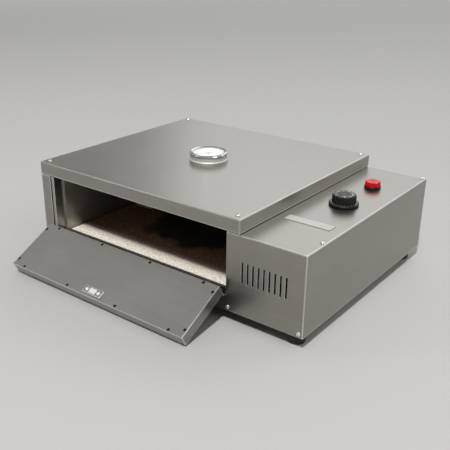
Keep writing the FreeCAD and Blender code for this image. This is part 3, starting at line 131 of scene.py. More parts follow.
def brushedSheet(name, finish, along):
    material, tree, shader = newMaterial(name)
    across, lengthways = perMetre(finish["lineWidth"]), perMetre(finish["lineLength"])
    scale = [lengthways if axis == along else across for axis in "XYZ"]
    turned = [lengthways if axis == ("Y" if along == "X" else "X") else across for axis in "XYZ"]
    place = addNode(tree, "TexCoord", {}, {})
    normal = addNode(tree, "SeparateXYZ", {}, {"Vector": place.outputs["Normal"]})
    side = addNode(tree, "Math", {"operation": "ABSOLUTE"}, {0: normal.outputs[along]})
    endOn = addNode(
        tree, "Math", {"operation": "GREATER_THAN"}, {0: side.outputs[0], 1: brushing["endOn"]}
    )
    flat = addNode(tree, "Mapping", {}, {"Vector": place.outputs["Object"], "Scale": scale})
    ends = addNode(tree, "Mapping", {}, {"Vector": place.outputs["Object"], "Scale": turned})
    where = addNode(
        tree, "Mix", {"data_type": "VECTOR"},
        {"Factor": endOn.outputs[0], 4: flat.outputs[0], 5: ends.outputs[0]},
    )
    lines = addNode(
        tree, "TexNoise", {},
        {
            "Vector": where.outputs[1], "Scale": 1.0,
            "Detail": brushing["lineDetail"], "Roughness": brushing["lineGrain"],
        },
    )
    smears = addNode(
        tree, "TexNoise", {},
        {
            "Vector": place.outputs["Object"], "Scale": perMetre(finish["smearSize"]),
            "Detail": brushing["smearDetail"], "Roughness": brushing["smearGrain"],
        },
    )
    both = addNode(
        tree, "Mix", {"data_type": "FLOAT"},
        {"Factor": brushing["smearShare"], 2: lines.outputs["Fac"], 3: smears.outputs["Fac"]},
    )
    spread = {"Value": both.outputs[0], "From Min": brushing["noiseLow"], "From Max": brushing["noiseHigh"]}
    tone = addNode(tree, "MapRange", {}, spread)
    colour = addNode(
        tree, "Mix", {"data_type": "RGBA"},
        {
            "Factor": tone.outputs[0],
            6: hexToLinear(finish["lineColour"]),
            7: hexToLinear(finish["colour"]),
        },
    )
    rough = addNode(
        tree, "MapRange", {}, {**spread, "To Min": finish["roughLow"], "To Max": finish["roughHigh"]}
    )
    soft = addNode(tree, "Bevel", {"samples": 6}, {"Radius": finish["edgeRadius"] * mm})
    bump = addNode(
        tree, "Bump", {},
        {
            "Strength": brushing["bump"], "Distance": finish["lineHeight"] * mm,
            "Height": lines.outputs["Fac"], "Normal": soft.outputs[0],
        },
    )
    surface = addNode(tree, "NewGeometry", {}, {})
    # Painted highlight: a pale colour mixed in along folds and cut edges, where the eased normal leans off
    # the face
    highlightBevel = addNode(tree, "Bevel", {"samples": 8}, {"Radius": finish["highlightWidth"] * mm})
    lean = addNode(
        tree, "VectorMath", {"operation": "DOT_PRODUCT"}, {0: highlightBevel.outputs[0], 1: surface.outputs["Normal"]}
    )
    edge = addNode(
        tree, "MapRange", {},
        {
            "Value": lean.outputs["Value"], "From Min": brushing["flatLean"],
            "From Max": brushing["edgeLean"], "To Max": finish["highlightMost"],
        },
    )
    paintedHighlight = addNode(
        tree, "Mix", {"data_type": "RGBA"},
        {"Factor": edge.outputs[0], 6: colour.outputs[2], 7: hexToLinear(finish["highlightColour"])},
    )
    tree.links.new(paintedHighlight.outputs[2], shader.inputs["Base Color"])
    tree.links.new(rough.outputs[0], shader.inputs["Roughness"])
    tree.links.new(bump.outputs[0], shader.inputs["Normal"])
    shader.inputs["Metallic"].default_value = 1.0
    return material


sheetAlongX = brushedSheet("brushedStainlessX", stainless, "X")
sheetAlongY = brushedSheet("brushedStainlessY", stainless, "Y")
sheetAlongZ = brushedSheet("brushedStainlessZ", stainless, "Z")
dress(sheetAlongX, "lid", "rear_panel", "door_outer_pan", "base_pan", "strike_plate")
dress(sheetAlongY, "control_cover", "left_side_panel")
dress(sheetAlongZ, "left_jamb", "right_jamb")

# Plates with slots and countersinks, where the painted highlight along the edges is narrower
cutSheet = brushedSheet("brushedStainlessCut", {**stainless, "highlightWidth": 0.9}, "X")
dress(cutSheet, "front_panel", "door_inner_plate")

# Chamber lining: the same steel from the mill, smooth and pale, with a slight straw bloom from the heat,
# and a painted highlight along its edges
chamberSteel = {
    "colour": "#c0beb8",
    "lineColour": "#b3afa6",
    # painted highlight on the lining's edges
    "highlightColour": "#d9d8d3",
    "roughLow": 0.44,
    "roughHigh": 0.58,
    "lineWidth": 2.0,     # drawn wider than real so that they show
    "lineLength": 160,
    "smearSize": 60,
    "lineHeight": 0.002,
    "edgeRadius": 0.4,
    "highlightWidth": 0.8,
    "highlightMost": 0.6,
}
liningAlongY = brushedSheet("heatDulledSteel", chamberSteel, "Y")
dress(
    liningAlongY, "left_liner", "right_liner", "rear_liner", "ceiling_liner", "stone_supports",
    "heater_hangers", "partition", "cover_rail", "lid_brackets",
)
print("sheet metal: dressed")

# Small metal pieces, with a slight mottle that breaks up the shine. Zinc plate is the screws and the hinge,
# nickel the bright screw heads, black oxide the door screws, turned and blasted steel the thermometer
smallMetals = {
    "zincPlatedSteel": {
        "colour": "#c2c1bd", "dull": "#96948f", "roughLow": 0.18, "roughHigh": 0.36, "mottle": 2.2,
    },
    "brightNickelSteel": {
        "colour": "#f0efeb", "dull": "#dad9d4", "roughLow": 0.22, "roughHigh": 0.34, "mottle": 2,
    },
    "blackOxideSteel": {
        "colour": "#34322f", "dull": "#22211f", "roughLow": 0.25, "roughHigh": 0.45, "mottle": 1.5,
    },
    "drawnCopper": {
        "colour": "#b06a45", "dull": "#7d4a33", "roughLow": 0.25, "roughHigh": 0.45, "mottle": 4,
    },
    "turnedStainless": {
        "colour": "#d2d1cd", "dull": "#c2c1bc", "roughLow": 0.12, "roughHigh": 0.2, "mottle": 5,
    },
    "blastedStainless": {
        "colour": "#d9d8d4", "dull": "#cccbc6", "roughLow": 0.55, "roughHigh": 0.64, "mottle": 2,
    },
}
softEdge = {"metal": 0.15, "moulding": 0.25}     # radius that eases the edges of small pieces, mm


def platedSteel(name):
    finish = smallMetals[name]
    material, tree, shader = newMaterial(name)
    place = addNode(tree, "TexCoord", {}, {})
    mottle = addNode(
        tree, "TexNoise", {},
        {"Vector": place.outputs["Object"], "Scale": perMetre(finish["mottle"]), "Detail": 3.0},
    )
    colour = addNode(
        tree, "Mix", {"data_type": "RGBA"},
        {"Factor": mottle.outputs["Fac"], 6: hexToLinear(finish["dull"]), 7: hexToLinear(finish["colour"])},
    )
    rough = addNode(
        tree, "MapRange", {},
        {"Value": mottle.outputs["Fac"], "To Min": finish["roughLow"], "To Max": finish["roughHigh"]},
    )
    soft = addNode(tree, "Bevel", {"samples": 4}, {"Radius": softEdge["metal"] * mm})
    tree.links.new(colour.outputs[2], shader.inputs["Base Color"])
    tree.links.new(rough.outputs[0], shader.inputs["Roughness"])
    tree.links.new(soft.outputs[0], shader.inputs["Normal"])
    shader.inputs["Metallic"].default_value = 1.0
    return material


brightNickel = platedSteel("brightNickelSteel")
blackOxide = platedSteel("blackOxideSteel")
dress(
    platedSteel("zincPlatedSteel"), "hinge_leaf_fixed", "hinge_leaf_door", "hinge_pin", "lock_nuts",
    "foot_screws", "thermostat_shaft", "thermometer_stem", "door_pull_screw",
)
dress(platedSteel("turnedStainless"), "thermometer_bezel")
dress(platedSteel("blastedStainless"), "thermometer_case")
dress(platedSteel("drawnCopper"), "sensing_bulb")

# Heating elements and the catch over the opening: steel turned grey and blue-brown by heat
heatedSheath = {"grey": "#4a4743", "brown": "#5a4436", "patch": 28, "rough": 0.5, "metallic": 0.8}
sheathSteel, tree, shader = newMaterial("heatedSheath")
place = addNode(tree, "TexCoord", {}, {})
patches = addNode(
    tree, "TexNoise", {},
    {"Vector": place.outputs["Object"], "Scale": perMetre(heatedSheath["patch"]), "Detail": 3.0},
)
tint = addNode(
    tree, "Mix", {"data_type": "RGBA"},
    {
        "Factor": patches.outputs["Fac"],
        6: hexToLinear(heatedSheath["grey"]),
        7: hexToLinear(heatedSheath["brown"]),
    },
)
tree.links.new(tint.outputs[2], shader.inputs["Base Color"])
shader.inputs["Metallic"].default_value = heatedSheath["metallic"]
shader.inputs["Roughness"].default_value = heatedSheath["rough"]
dress(sheathSteel, "upper_heater", "lower_heater", "door_catch")

# Cordierite baking stone: pressed and fired, cream with grit, a painted shade along its front edge,
# brown and darker from a little behind the front, and black in a rough round in the middle
bakingStone = {
    "cream": "#fbf8f0",
    "sand": "#d9ccb6",
    "midBrown": "#9a6a43",
    "deepBrown": "#422d19",
    # near-black: of the rough round in the middle, and of the painted shade along the front edge
    "nearBlack": "#0d0a08",
    "speck": "#7d6045",
    "rough": 0.92,
    "grit": 3.2,          # real grit is near 1 mm, drawn coarser so that it shows
    "gritHeight": 0.25,
    "gritBump": 0.7,
    "grainLow": 0.38,
    "grainHigh": 0.6,
    "speckSpacing": 6.08,
    "speckCore": 0.12,    # in shares of the spacing
    "speckEdge": 0.2,
    "speckMost": 0.36,
    "patch": 60,
    "patchLow": 0.3,
    "patchHigh": 0.7,
    # where the stone turns brown and darker behind its front edge, in mm
    "creamDepth": 13,
    "brownDepth": 48,
    "brownMost": 0.95,
    # painted shade along the front top edge, where the gap in front of the stone lies in shadow: width, mm,
    # and strength
    "edgeShadeWidth": 3.2,
    "edgeShadeMost": 0.95,
    # black rough round about the middle: radius, blur and raggedness in mm, and strength
    "blackRadius": 108,
    "blackEdge": 14,
    "blackRagged": 26,
    "blackMost": 0.97,
}


def firedStone(name, finish):
    material, tree, shader = newMaterial(name)
    place = addNode(tree, "TexCoord", {}, {})
    grit = addNode(
        tree, "TexNoise", {},
        {
            "Vector": place.outputs["Object"], "Scale": perMetre(finish["grit"]),
            "Detail": 5.0, "Roughness": 0.65,
        },
    )
    grains = addNode(
        tree, "MapRange", {},
        {
            "Value": grit.outputs["Fac"],
            "From Min": finish["grainLow"], "From Max": finish["grainHigh"],
        },
    )
    cells = addNode(
        tree, "TexVoronoi", {},
        {"Vector": place.outputs["Object"], "Scale": perMetre(finish["speckSpacing"])},
    )
    patches = addNode(
        tree, "TexNoise", {},
        {
            "Vector": place.outputs["Object"], "Scale": perMetre(finish["patch"]),
            "Detail": 3.0, "Roughness": 0.45,
        },
    )
    body = addNode(
        tree, "Mix", {"data_type": "RGBA"},
        {"Factor": grains.outputs[0], 6: hexToLinear(finish["sand"]), 7: hexToLinear(finish["cream"])},
    )
    along = addNode(tree, "SeparateXYZ", {}, {"Vector": place.outputs["Object"]})
    uneven = addNode(
        tree, "MapRange", {"clamp": False},
        {
            "Value": patches.outputs["Fac"], "From Min": finish["patchLow"], "From Max": finish["patchHigh"],
            "To Min": -finish["blackRagged"] * mm, "To Max": finish["blackRagged"] * mm,
        },
    )
    low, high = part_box("pizza_stone")
    front = low.y
    middle = ((low.x + high.x) / 2, (low.y + high.y) / 2, high.z)
    fromMiddle = addNode(
        tree, "VectorMath", {"operation": "DISTANCE"}, {0: place.outputs["Object"], 1: middle}
    )
    reach = addNode(tree, "Math", {}, {0: fromMiddle.outputs["Value"], 1: uneven.outputs[0]})
    # brown and darker from a little behind the front edge back
    brownShare = addNode(
        tree, "MapRange", {},
        {
            "Value": along.outputs["Y"], "From Min": front + finish["creamDepth"] * mm,
            "From Max": front + finish["brownDepth"] * mm, "To Max": finish["brownMost"],
        },
    )
    brownGrain = addNode(
        tree, "Mix", {"data_type": "RGBA"},
        {"Factor": grains.outputs[0], 6: hexToLinear(finish["deepBrown"]), 7: hexToLinear(finish["midBrown"])},
    )
    withBrown = addNode(
        tree, "Mix", {"data_type": "RGBA"},
        {"Factor": brownShare.outputs[0], 6: body.outputs[2], 7: brownGrain.outputs[2]},
    )
    # black in a rough round about the middle of the stone
    blackShare = addNode(
        tree, "MapRange", {},
        {
            "Value": reach.outputs[0],
            "From Min": (finish["blackRadius"] + finish["blackEdge"]) * mm,
            "From Max": (finish["blackRadius"] - finish["blackEdge"]) * mm,
            "To Max": finish["blackMost"],
        },
    )
    withBlack = addNode(
        tree, "Mix", {"data_type": "RGBA"},
        {"Factor": blackShare.outputs[0], 6: withBrown.outputs[2], 7: hexToLinear(finish["nearBlack"])},
    )
    # Painted shade: near-black along the front top edge, where the gap in front of the stone lies in shadow
    section = addNode(
        tree, "VectorMath", {"operation": "MULTIPLY"}, {0: place.outputs["Object"], 1: (0, 1, 1)}
    )
    fromEdge = addNode(
        tree, "VectorMath", {"operation": "DISTANCE"}, {0: section.outputs[0], 1: (0, front, high.z)}
    )
    edgeShadeShare = addNode(
        tree, "MapRange", {},
        {
            "Value": fromEdge.outputs["Value"], "From Min": finish["edgeShadeWidth"] * mm,
            "From Max": finish["edgeShadeWidth"] / 2 * mm, "To Max": finish["edgeShadeMost"],
        },
    )
    edgeShaded = addNode(
        tree, "Mix", {"data_type": "RGBA"},
        {"Factor": edgeShadeShare.outputs[0], 6: withBlack.outputs[2], 7: hexToLinear(finish["nearBlack"])},
    )
    speckShare = addNode(
        tree, "MapRange", {},
        {
            "Value": cells.outputs["Distance"], "From Min": finish["speckCore"],
            "From Max": finish["speckEdge"], "To Min": finish["speckMost"], "To Max": 0.0,
        },
    )
    speckled = addNode(
        tree, "Mix", {"data_type": "RGBA"},
        {"Factor": speckShare.outputs[0], 6: edgeShaded.outputs[2], 7: hexToLinear(finish["speck"])},
    )
    bump = addNode(
        tree, "Bump", {},
        {
            "Strength": finish["gritBump"], "Distance": finish["gritHeight"] * mm,
            "Height": grit.outputs["Fac"],
        },
    )
    tree.links.new(speckled.outputs[2], shader.inputs["Base Color"])
    tree.links.new(bump.outputs[0], shader.inputs["Normal"])
    shader.inputs["Roughness"].default_value = finish["rough"]
    return material


dress(firedStone("cordieriteStone", bakingStone), "pizza_stone")

# Moulded plastics, rubber, glaze, wool and print: a fine grain that breaks up the shine, a little worn
mouldings = {
    "phenolicBlack": {
        "colour": "#0b0b0b", "worn": "#151514", "rough": 0.34, "grain": 0.9, "height": 0.03, "ior": 1.38,
    },
    "nylonBlack": {
        "colour": "#1b1b1b", "worn": "#292928", "rough": 0.5, "grain": 1.1, "height": 0.04, "ior": 1.53,
    },
    "footRubber": {
        "colour": "#161615", "worn": "#2b2a29", "rough": 0.75, "grain": 1.3, "height": 0.06, "ior": 1.5,
    },
    "siliconeSleeve": {
        "colour": "#8c2a1e", "worn": "#6f2018", "rough": 0.55, "grain": 2.0, "height": 0.02, "ior": 1.42,
    },
    "naturalNylon": {
        "colour": "#ecebe6", "worn": "#dedcd6", "rough": 0.45, "grain": 1.1, "height": 0.03, "ior": 1.53,
    },
    "whiteEnamel": {
        "colour": "#cfd0cb", "worn": "#c6c7c2", "rough": 0.4, "grain": 3.0, "height": 0.01, "ior": 1.5,
    },
    "glazedPorcelain": {
        "colour": "#e8e4d8", "worn": "#d5cfbf", "rough": 0.2, "grain": 4.0, "height": 0.02, "ior": 1.5,
    },
    "ceramicWool": {
        "colour": "#dcd6c6", "worn": "#bfb7a3", "rough": 0.95, "grain": 2.5, "height": 0.6, "ior": 1.4,
    },
    "printInk": {
        "colour": "#23211f", "worn": "#2c2a28", "rough": 0.6, "grain": 1.0, "height": 0.01, "ior": 1.5,
    },
    "palePrint": {
        "colour": "#f2f0ea", "worn": "#d9d7d0", "rough": 0.6, "grain": 1.2, "height": 0.01, "ior": 1.5,
    },
    "brushedLaminate": {
        "colour": "#b5b4af", "worn": "#a9a8a3", "rough": 0.5, "grain": 2.0, "height": 0.01, "ior": 1.5,
    },
}

# Wear by handling: patches of so many grains, and how far they change the roughness
handling = {"grains": 12, "low": 0.3, "high": 0.7, "smoother": 0.85, "rougher": 1.2, "grainBump": 0.5}


def mouldedGrain(name):
    finish = mouldings[name]
    material, tree, shader = newMaterial(name)
    place = addNode(tree, "TexCoord", {}, {})
    grain = addNode(
        tree, "TexNoise", {},
        {
            "Vector": place.outputs["Object"], "Scale": perMetre(finish["grain"]),
            "Detail": 3.0, "Roughness": 0.6,
        },
    )
    touched = addNode(
        tree, "TexNoise", {},
        {
            "Vector": place.outputs["Object"], "Scale": perMetre(finish["grain"] * handling["grains"]),
            "Detail": 2.0,
        },
    )
    colour = addNode(
        tree, "Mix", {"data_type": "RGBA"},
        {"Factor": touched.outputs["Fac"], 6: hexToLinear(finish["colour"]), 7: hexToLinear(finish["worn"])},
    )
    rough = addNode(
        tree, "MapRange", {},
        {
            "Value": touched.outputs["Fac"], "From Min": handling["low"], "From Max": handling["high"],
            "To Min": finish["rough"] * handling["smoother"],
            "To Max": min(1.0, finish["rough"] * handling["rougher"]),
        },
    )
    soft = addNode(tree, "Bevel", {"samples": 4}, {"Radius": softEdge["moulding"] * mm})
    bump = addNode(
        tree, "Bump", {},
        {
            "Strength": handling["grainBump"], "Distance": finish["height"] * mm,
            "Height": grain.outputs["Fac"], "Normal": soft.outputs[0],
        },
    )
    tree.links.new(colour.outputs[2], shader.inputs["Base Color"])
    tree.links.new(rough.outputs[0], shader.inputs["Roughness"])
    tree.links.new(bump.outputs[0], shader.inputs["Normal"])
    shader.inputs["IOR"].default_value = finish["ior"]
    return material


phenolic = mouldedGrain("phenolicBlack")
nylon = mouldedGrain("nylonBlack")
whiteNylon = mouldedGrain("naturalNylon")
printInk = mouldedGrain("printInk")
palePrint = mouldedGrain("palePrint")
dress(phenolic, "pilot_lamp_base", "door_pull", "thermostat", "terminal_block")
dress(printInk, "thermometer_pointer")
dress(mouldedGrain("footRubber"), "rubber_feet")
dress(mouldedGrain("whiteEnamel"), "thermometer_dial")
dress(mouldedGrain("glazedPorcelain"), "heater_terminals")
dress(mouldedGrain("siliconeSleeve"), "wiring")
dress(mouldedGrain("brushedLaminate"), "name_plate")
dress(
    mouldedGrain("ceramicWool"), "left_insulation", "right_insulation", "rear_insulation",
    "top_insulation", "floor_insulation", "door_insulation",
)

# Float glass of the dial and the small glow lamp: clear with a trace of green, mirror-like at a low angle,
# and open to the light that falls on the dial behind it
floatGlass = {"colour": "#f6faf7", "rough": 0.02, "ior": 1.5, "shade": 0.4}
clearGlass, tree, shader = newMaterial("floatGlass")
rays = addNode(tree, "LightPath", {}, {})
solid = addNode(
    tree, "MapRange", {},
    {"Value": rays.outputs["Is Shadow Ray"], "To Min": 1.0, "To Max": floatGlass["shade"]},
)
tree.links.new(solid.outputs[0], shader.inputs["Alpha"])
shader.inputs["Base Color"].default_value = hexToLinear(floatGlass["colour"])
shader.inputs["Roughness"].default_value = floatGlass["rough"]
shader.inputs["IOR"].default_value = floatGlass["ior"]
shader.inputs["Transmission Weight"].default_value = 1.0
dress(clearGlass, "thermometer_glass", "pilot_bulb")

# Red acrylic of the pilot lens: moulded, deep in colour and half clear
lensAcrylic = {
    "deep": "#d4041a", "bright": "#f61222", "cloud": 6, "rough": 0.18, "ior": 1.49, "specular": 0.1,
    "clear": 0.35,
}
redAcrylic, tree, shader = newMaterial("redAcrylic")
place = addNode(tree, "TexCoord", {}, {})
depth = addNode(
    tree, "TexNoise", {},
    {"Vector": place.outputs["Object"], "Scale": perMetre(lensAcrylic["cloud"]), "Detail": 1.0},
)
red = addNode(
    tree, "Mix", {"data_type": "RGBA"},
    {
        "Factor": depth.outputs["Fac"],
        6: hexToLinear(lensAcrylic["deep"]),
        7: hexToLinear(lensAcrylic["bright"]),
    },
)
tree.links.new(red.outputs[2], shader.inputs["Base Color"])
shader.inputs["Roughness"].default_value = lensAcrylic["rough"]
shader.inputs["IOR"].default_value = lensAcrylic["ior"]
shader.inputs["Specular IOR Level"].default_value = lensAcrylic["specular"]
shader.inputs["Transmission Weight"].default_value = lensAcrylic["clear"]
print("materials: dressed")


# Meshes that several pieces share. A lathe's rows are radius, height and depth of the flutes, in millimetres
def latheMesh(name, profile, segments, flutes=0):
    bm = bmesh.new()
    rings = []
    for radius, height, *dip in profile:
        if radius < 1e-6:
            rings.append([bm.verts.new((0, 0, height * mm))])
            continue
        flute = dip[0] if dip else 0.0
        ring = []
        for step in range(segments):
            angle = 2 * math.pi * step / segments
            reach = (radius - flute * (0.5 - 0.5 * math.cos(angle * flutes))) * mm
            ring.append(bm.verts.new((reach * math.cos(angle), reach * math.sin(angle), height * mm)))
        rings.append(ring)
    for low, high in zip(rings, rings[1:]):
        for step in range(segments):
            after = (step + 1) % segments
            corners = [
                low[step % len(low)], low[after % len(low)],
                high[after % len(high)], high[step % len(high)],
            ]
            unique = list(dict.fromkeys(corners))
            if len(unique) > 2:
                bm.faces.new(unique)
    bmesh.ops.remove_doubles(bm, verts=bm.verts, dist=1e-7)
    bmesh.ops.recalc_face_normals(bm, faces=bm.faces)
    mesh = bpy.data.meshes.new(name)
    bm.to_mesh(mesh)
    bm.free()
    return mesh


def prismMesh(name, outline, low, high):
    bm = bmesh.new()
    floor = [bm.verts.new((x * mm, y * mm, low * mm)) for x, y in outline]
    roof = [bm.verts.new((x * mm, y * mm, high * mm)) for x, y in outline]
    bm.faces.new(floor)
    bm.faces.new(roof)
    for step in range(len(outline)):
        after = (step + 1) % len(outline)
        bm.faces.new((floor[step], floor[after], roof[after], roof[step]))
    bmesh.ops.recalc_face_normals(bm, faces=bm.faces)
    mesh = bpy.data.meshes.new(name)
    bm.to_mesh(mesh)
    bm.free()
    return mesh


def joinMeshes(name, parts):
    bm = bmesh.new()
    for mesh, matrix in parts:
        copy = mesh.copy()
        copy.transform(matrix)
        bm.from_mesh(copy)
        bpy.data.meshes.remove(copy)
    mesh = bpy.data.meshes.new(name)
    bm.to_mesh(mesh)
    bm.free()
    return mesh


def smoothMesh(mesh, degrees):
    for face in mesh.polygons:
        face.use_smooth = True
    mesh.set_sharp_from_angle(angle=math.radians(degrees))
    return mesh


def turnTo(direction):
    return Vector((0, 0, 1)).rotation_difference(Vector(direction)).to_matrix().to_4x4()


def middleOf(low, high, z):
    return Vector(((low.x + high.x) / 2, (low.y + high.y) / 2, z))


# Cross recessed screw heads: shares of the radius, and of the height for the recess's floor
recess = {"neck": 0.56, "arm": 0.52, "half": 0.13, "floor": 0.55, "segments": 40, "crownSteps": 8}
easing = {"width": 0.06, "segments": 2, "bevelAbove": 40, "smoothBelow": 35}


def cutMesh(name, base, tool):
    solid = bpy.data.objects.new(name, base)
    cutter = bpy.data.objects.new(name + "Cutter", tool)
    for thing in (solid, cutter):
        bpy.context.scene.collection.objects.link(thing)
    carve = solid.modifiers.new("carve", "BOOLEAN")
    carve.object = cutter
    carve.solver = "EXACT"
    ease = solid.modifiers.new("ease", "BEVEL")
    ease.width = easing["width"] * mm
    ease.segments = easing["segments"]
    ease.limit_method = "ANGLE"
    ease.angle_limit = math.radians(easing["bevelAbove"])
    bpy.context.view_layer.update()
    result = bpy.data.meshes.new_from_object(
        solid.evaluated_get(bpy.context.evaluated_depsgraph_get())
    )
    result.name = name
    for thing in (solid, cutter):
        bpy.data.objects.remove(thing)
    return smoothMesh(result, easing["smoothBelow"])


def crossHead(name, screw):
    radius, height, shank, crown = (screw[key] for key in ("radius", "height", "shank", "crown"))
    neck, steps = radius * recess["neck"], recess["crownSteps"]
    profile = [(0, -shank), (neck, -shank), (neck, 0), (radius, 0)]
    for step in range(steps):
        angle = math.pi / 2 * step / steps
        profile.append((radius * math.cos(angle), height * (1 - crown + crown * math.sin(angle))))
    profile.append((0, height))
    head = latheMesh(name, profile, recess["segments"])
    arm, half = radius * recess["arm"], radius * recess["half"]
    outline = [
        (half, half), (half, arm), (-half, arm), (-half, half), (-arm, half), (-arm, -half),
        (-half, -half), (-half, -arm), (half, -arm), (half, -half), (arm, -half), (arm, half),
    ]
    cross = prismMesh(name + "Cross", outline, height * recess["floor"], height * 2)
    return cutMesh(name, head, cross)


# Pan head screws of the panels, cover, thermostat and lid. Each is turned on from the last by twist radians
panScrew = {
    "radius": 3.3, "height": 2.4, "shank": 7.0, "crown": 0.75, "twist": 0.7,
    "lidInset": 12, "lowRise": 6, "apronInset": 3, "jambInset": 4, "panelInset": 5.1,
    "rearInset": 22, "rearCorner": 7.5, "rearDrop": 17,
    "coverInset": 5.5, "coverFront": 49, "coverRear": 4.5, "thermostatPitch": 26,
}


def makePanScrews():
    head = crossHead("panHead", panScrew)
    inset = panScrew["lidInset"] * mm
    spots = []
    for x in (lidLow.x + inset, lidHigh.x - inset):
        for y in (lidLow.y + inset, lidHigh.y - inset):
            spots.append(((x, y, lidHigh.z), (0, 0, 1)))
    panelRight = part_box("front_panel")[1].x
    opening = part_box("right_jamb")[0].x
    lowRise = underside + panScrew["lowRise"] * mm
    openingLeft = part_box("left_jamb")[1].x
    for x in (
        openingLeft + panScrew["apronInset"] * mm,
        opening + panScrew["jambInset"] * mm,
        panelRight - panScrew["panelInset"] * mm,
    ):
        spots.append(((x, frontFace, lowRise), (0, -1, 0)))
    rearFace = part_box("rear_panel")[1].y
    for x, z in (
        (leftSide + panScrew["rearInset"] * mm, lowRise),
        (coverHigh.x - panScrew["rearInset"] * mm, lowRise),
        (leftSide + panScrew["rearCorner"] * mm, coverHigh.z - panScrew["rearDrop"] * mm),
    ):
        spots.append(((x, rearFace, z), (0, 1, 0)))
    for y in (frontFace + panScrew["coverFront"] * mm, rearFace - panScrew["coverRear"] * mm):
        spots.append(((coverHigh.x - panScrew["coverInset"] * mm, y, coverHigh.z), (0, 0, 1)))
    knobLow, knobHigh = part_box("knob")
    knobMiddle = middleOf(knobLow, knobHigh, coverHigh.z)
    for side in (-1, 1):
        offset = Vector((side * panScrew["thermostatPitch"] / 2 * mm, 0, 0))
        spots.append((knobMiddle + offset, (0, 0, 1)))
    parts = []
    for number, (point, direction) in enumerate(spots):
        twist = Matrix.Rotation(panScrew["twist"] * number, 4, "Z")
        parts.append((head, Matrix.Translation(point) @ turnTo(direction) @ twist))
    addPiece("panScrews", joinMeshes("panScrews", parts), brightNickel, "cabinet", "panel_screws")


makePanScrews()

# Door pieces, measured from the hinge pin on the closed door and carried to the open one
hinge = next(j for j in frame["joints"] if j["name"] == "door_hinge")
openTurn = Matrix.Rotation(math.radians(hinge["range_deg"][1]), 4, "X")
doorPlace = Matrix.Translation(hinge["pos_m"]) @ openTurn
doorFace = {"inner": 22.8, "low": 1.0, "high": 98.0, "halfWidth": 187.5}

# Countersunk screws of the inner plate, a little proud of it
flushScrew = {
    "radius": 2.7, "height": 0.9, "shank": 5.0, "crown": 0.3, "twist": 0.9, "proud": 0.2,
    "inset": 3.5, "columns": 4, "pitch": 107, "sidePitch": 71,
}

# Strike plate's screws and the ribbed pad between them. Ribs fill a share of their pitch and are flattened
strikeScrew = {"radius": 2.6, "height": 1.15, "shank": 1.0, "crown": 0.45, "pitch": 25, "sink": 1.1}
strike = {
    "drop": 10.5, "thickness": 1.8, "padLength": 14, "padWidth": 9,
    "ribs": 5, "ribFill": 0.84, "ribFlat": 0.25, "ribSink": 0.1, "ribSides": 16,
}


def onDoor(x, y, z):
    return doorPlace @ Matrix.Translation((x * mm, y * mm, z * mm))


def makeDoorScrews():
    head = crossHead("flushHead", flushScrew)
    middle = (doorFace["low"] + doorFace["high"]) / 2
    spots = []
    for column in range(flushScrew["columns"]):
        x = flushScrew["pitch"] * (column - (flushScrew["columns"] - 1) / 2)
        spots += [(x, doorFace["low"] + flushScrew["inset"]), (x, doorFace["high"] - flushScrew["inset"])]
    for x in (flushScrew["inset"] - doorFace["halfWidth"], doorFace["halfWidth"] - flushScrew["inset"]):
        spots += [(x, middle - flushScrew["sidePitch"] / 2), (x, middle + flushScrew["sidePitch"] / 2)]
    seat = doorFace["inner"] + flushScrew["proud"] - flushScrew["height"]
    parts = []
    for number, (x, z) in enumerate(spots):
        twist = Matrix.Rotation(flushScrew["twist"] * number, 4, "Z")
        parts.append((head, onDoor(x, seat, z) @ turnTo((0, 1, 0)) @ twist))
    addPiece("doorScrews", joinMeshes("doorScrews", parts), blackOxide, "door", "door_screws")


def makeStrike():
    z = doorFace["high"] - strike["drop"]
    top = doorFace["inner"] + strike["thickness"]
    head = crossHead("strikeHead", strikeScrew)
    parts = []
    for x in (-strikeScrew["pitch"] / 2, strikeScrew["pitch"] / 2):
        parts.append((head, onDoor(x, top - strikeScrew["sink"], z) @ turnTo((0, 1, 0))))
    addPiece("strikeScrews", joinMeshes("strikeScrews", parts), whiteNylon, "door", "strike_screws")
    pitch = strike["padLength"] / strike["ribs"]
    radius, end = pitch * strike["ribFill"] / 2, strike["padWidth"] / 2
    profile = [(0, -end), (radius, -end), (radius, end), (0, end)]
    rib = latheMesh("strikeRib", profile, strike["ribSides"])
    flatten = Matrix.Diagonal((1, strike["ribFlat"], 1, 1))
    parts = []
    for number in range(strike["ribs"]):
        x = pitch * (number + 0.5) - strike["padLength"] / 2
        parts.append((rib, onDoor(x, top - strike["ribSink"], z) @ flatten))
    addPiece("strikePad", joinMeshes("strikePad", parts), whiteNylon, "door")


makeDoorScrews()
makeStrike()
print("screws and strike: built")

# Pilot lens: fluted side, rounded shoulder and a faceted crown
lens = {
    "flutes": 12,
    "profile": [
        (0, 0.05), (12.2, 0.05, 1.5), (12.8, 0.5, 1.5), (12.608, 6.6, 1.5), (11.904, 7.3, 1.5),
        (6.4, 7.6, 0.75), (0, 7.95),
    ],
}


def makeLens():
    low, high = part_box("pilot_lens")
    mesh = latheMesh("pilotLens", lens["profile"], lens["flutes"] * 2, lens["flutes"])
    mesh.transform(Matrix.Translation(middleOf(low, high, low.z)))
    addPiece("pilotLens", mesh, redAcrylic, "cabinet", "pilot_lens")


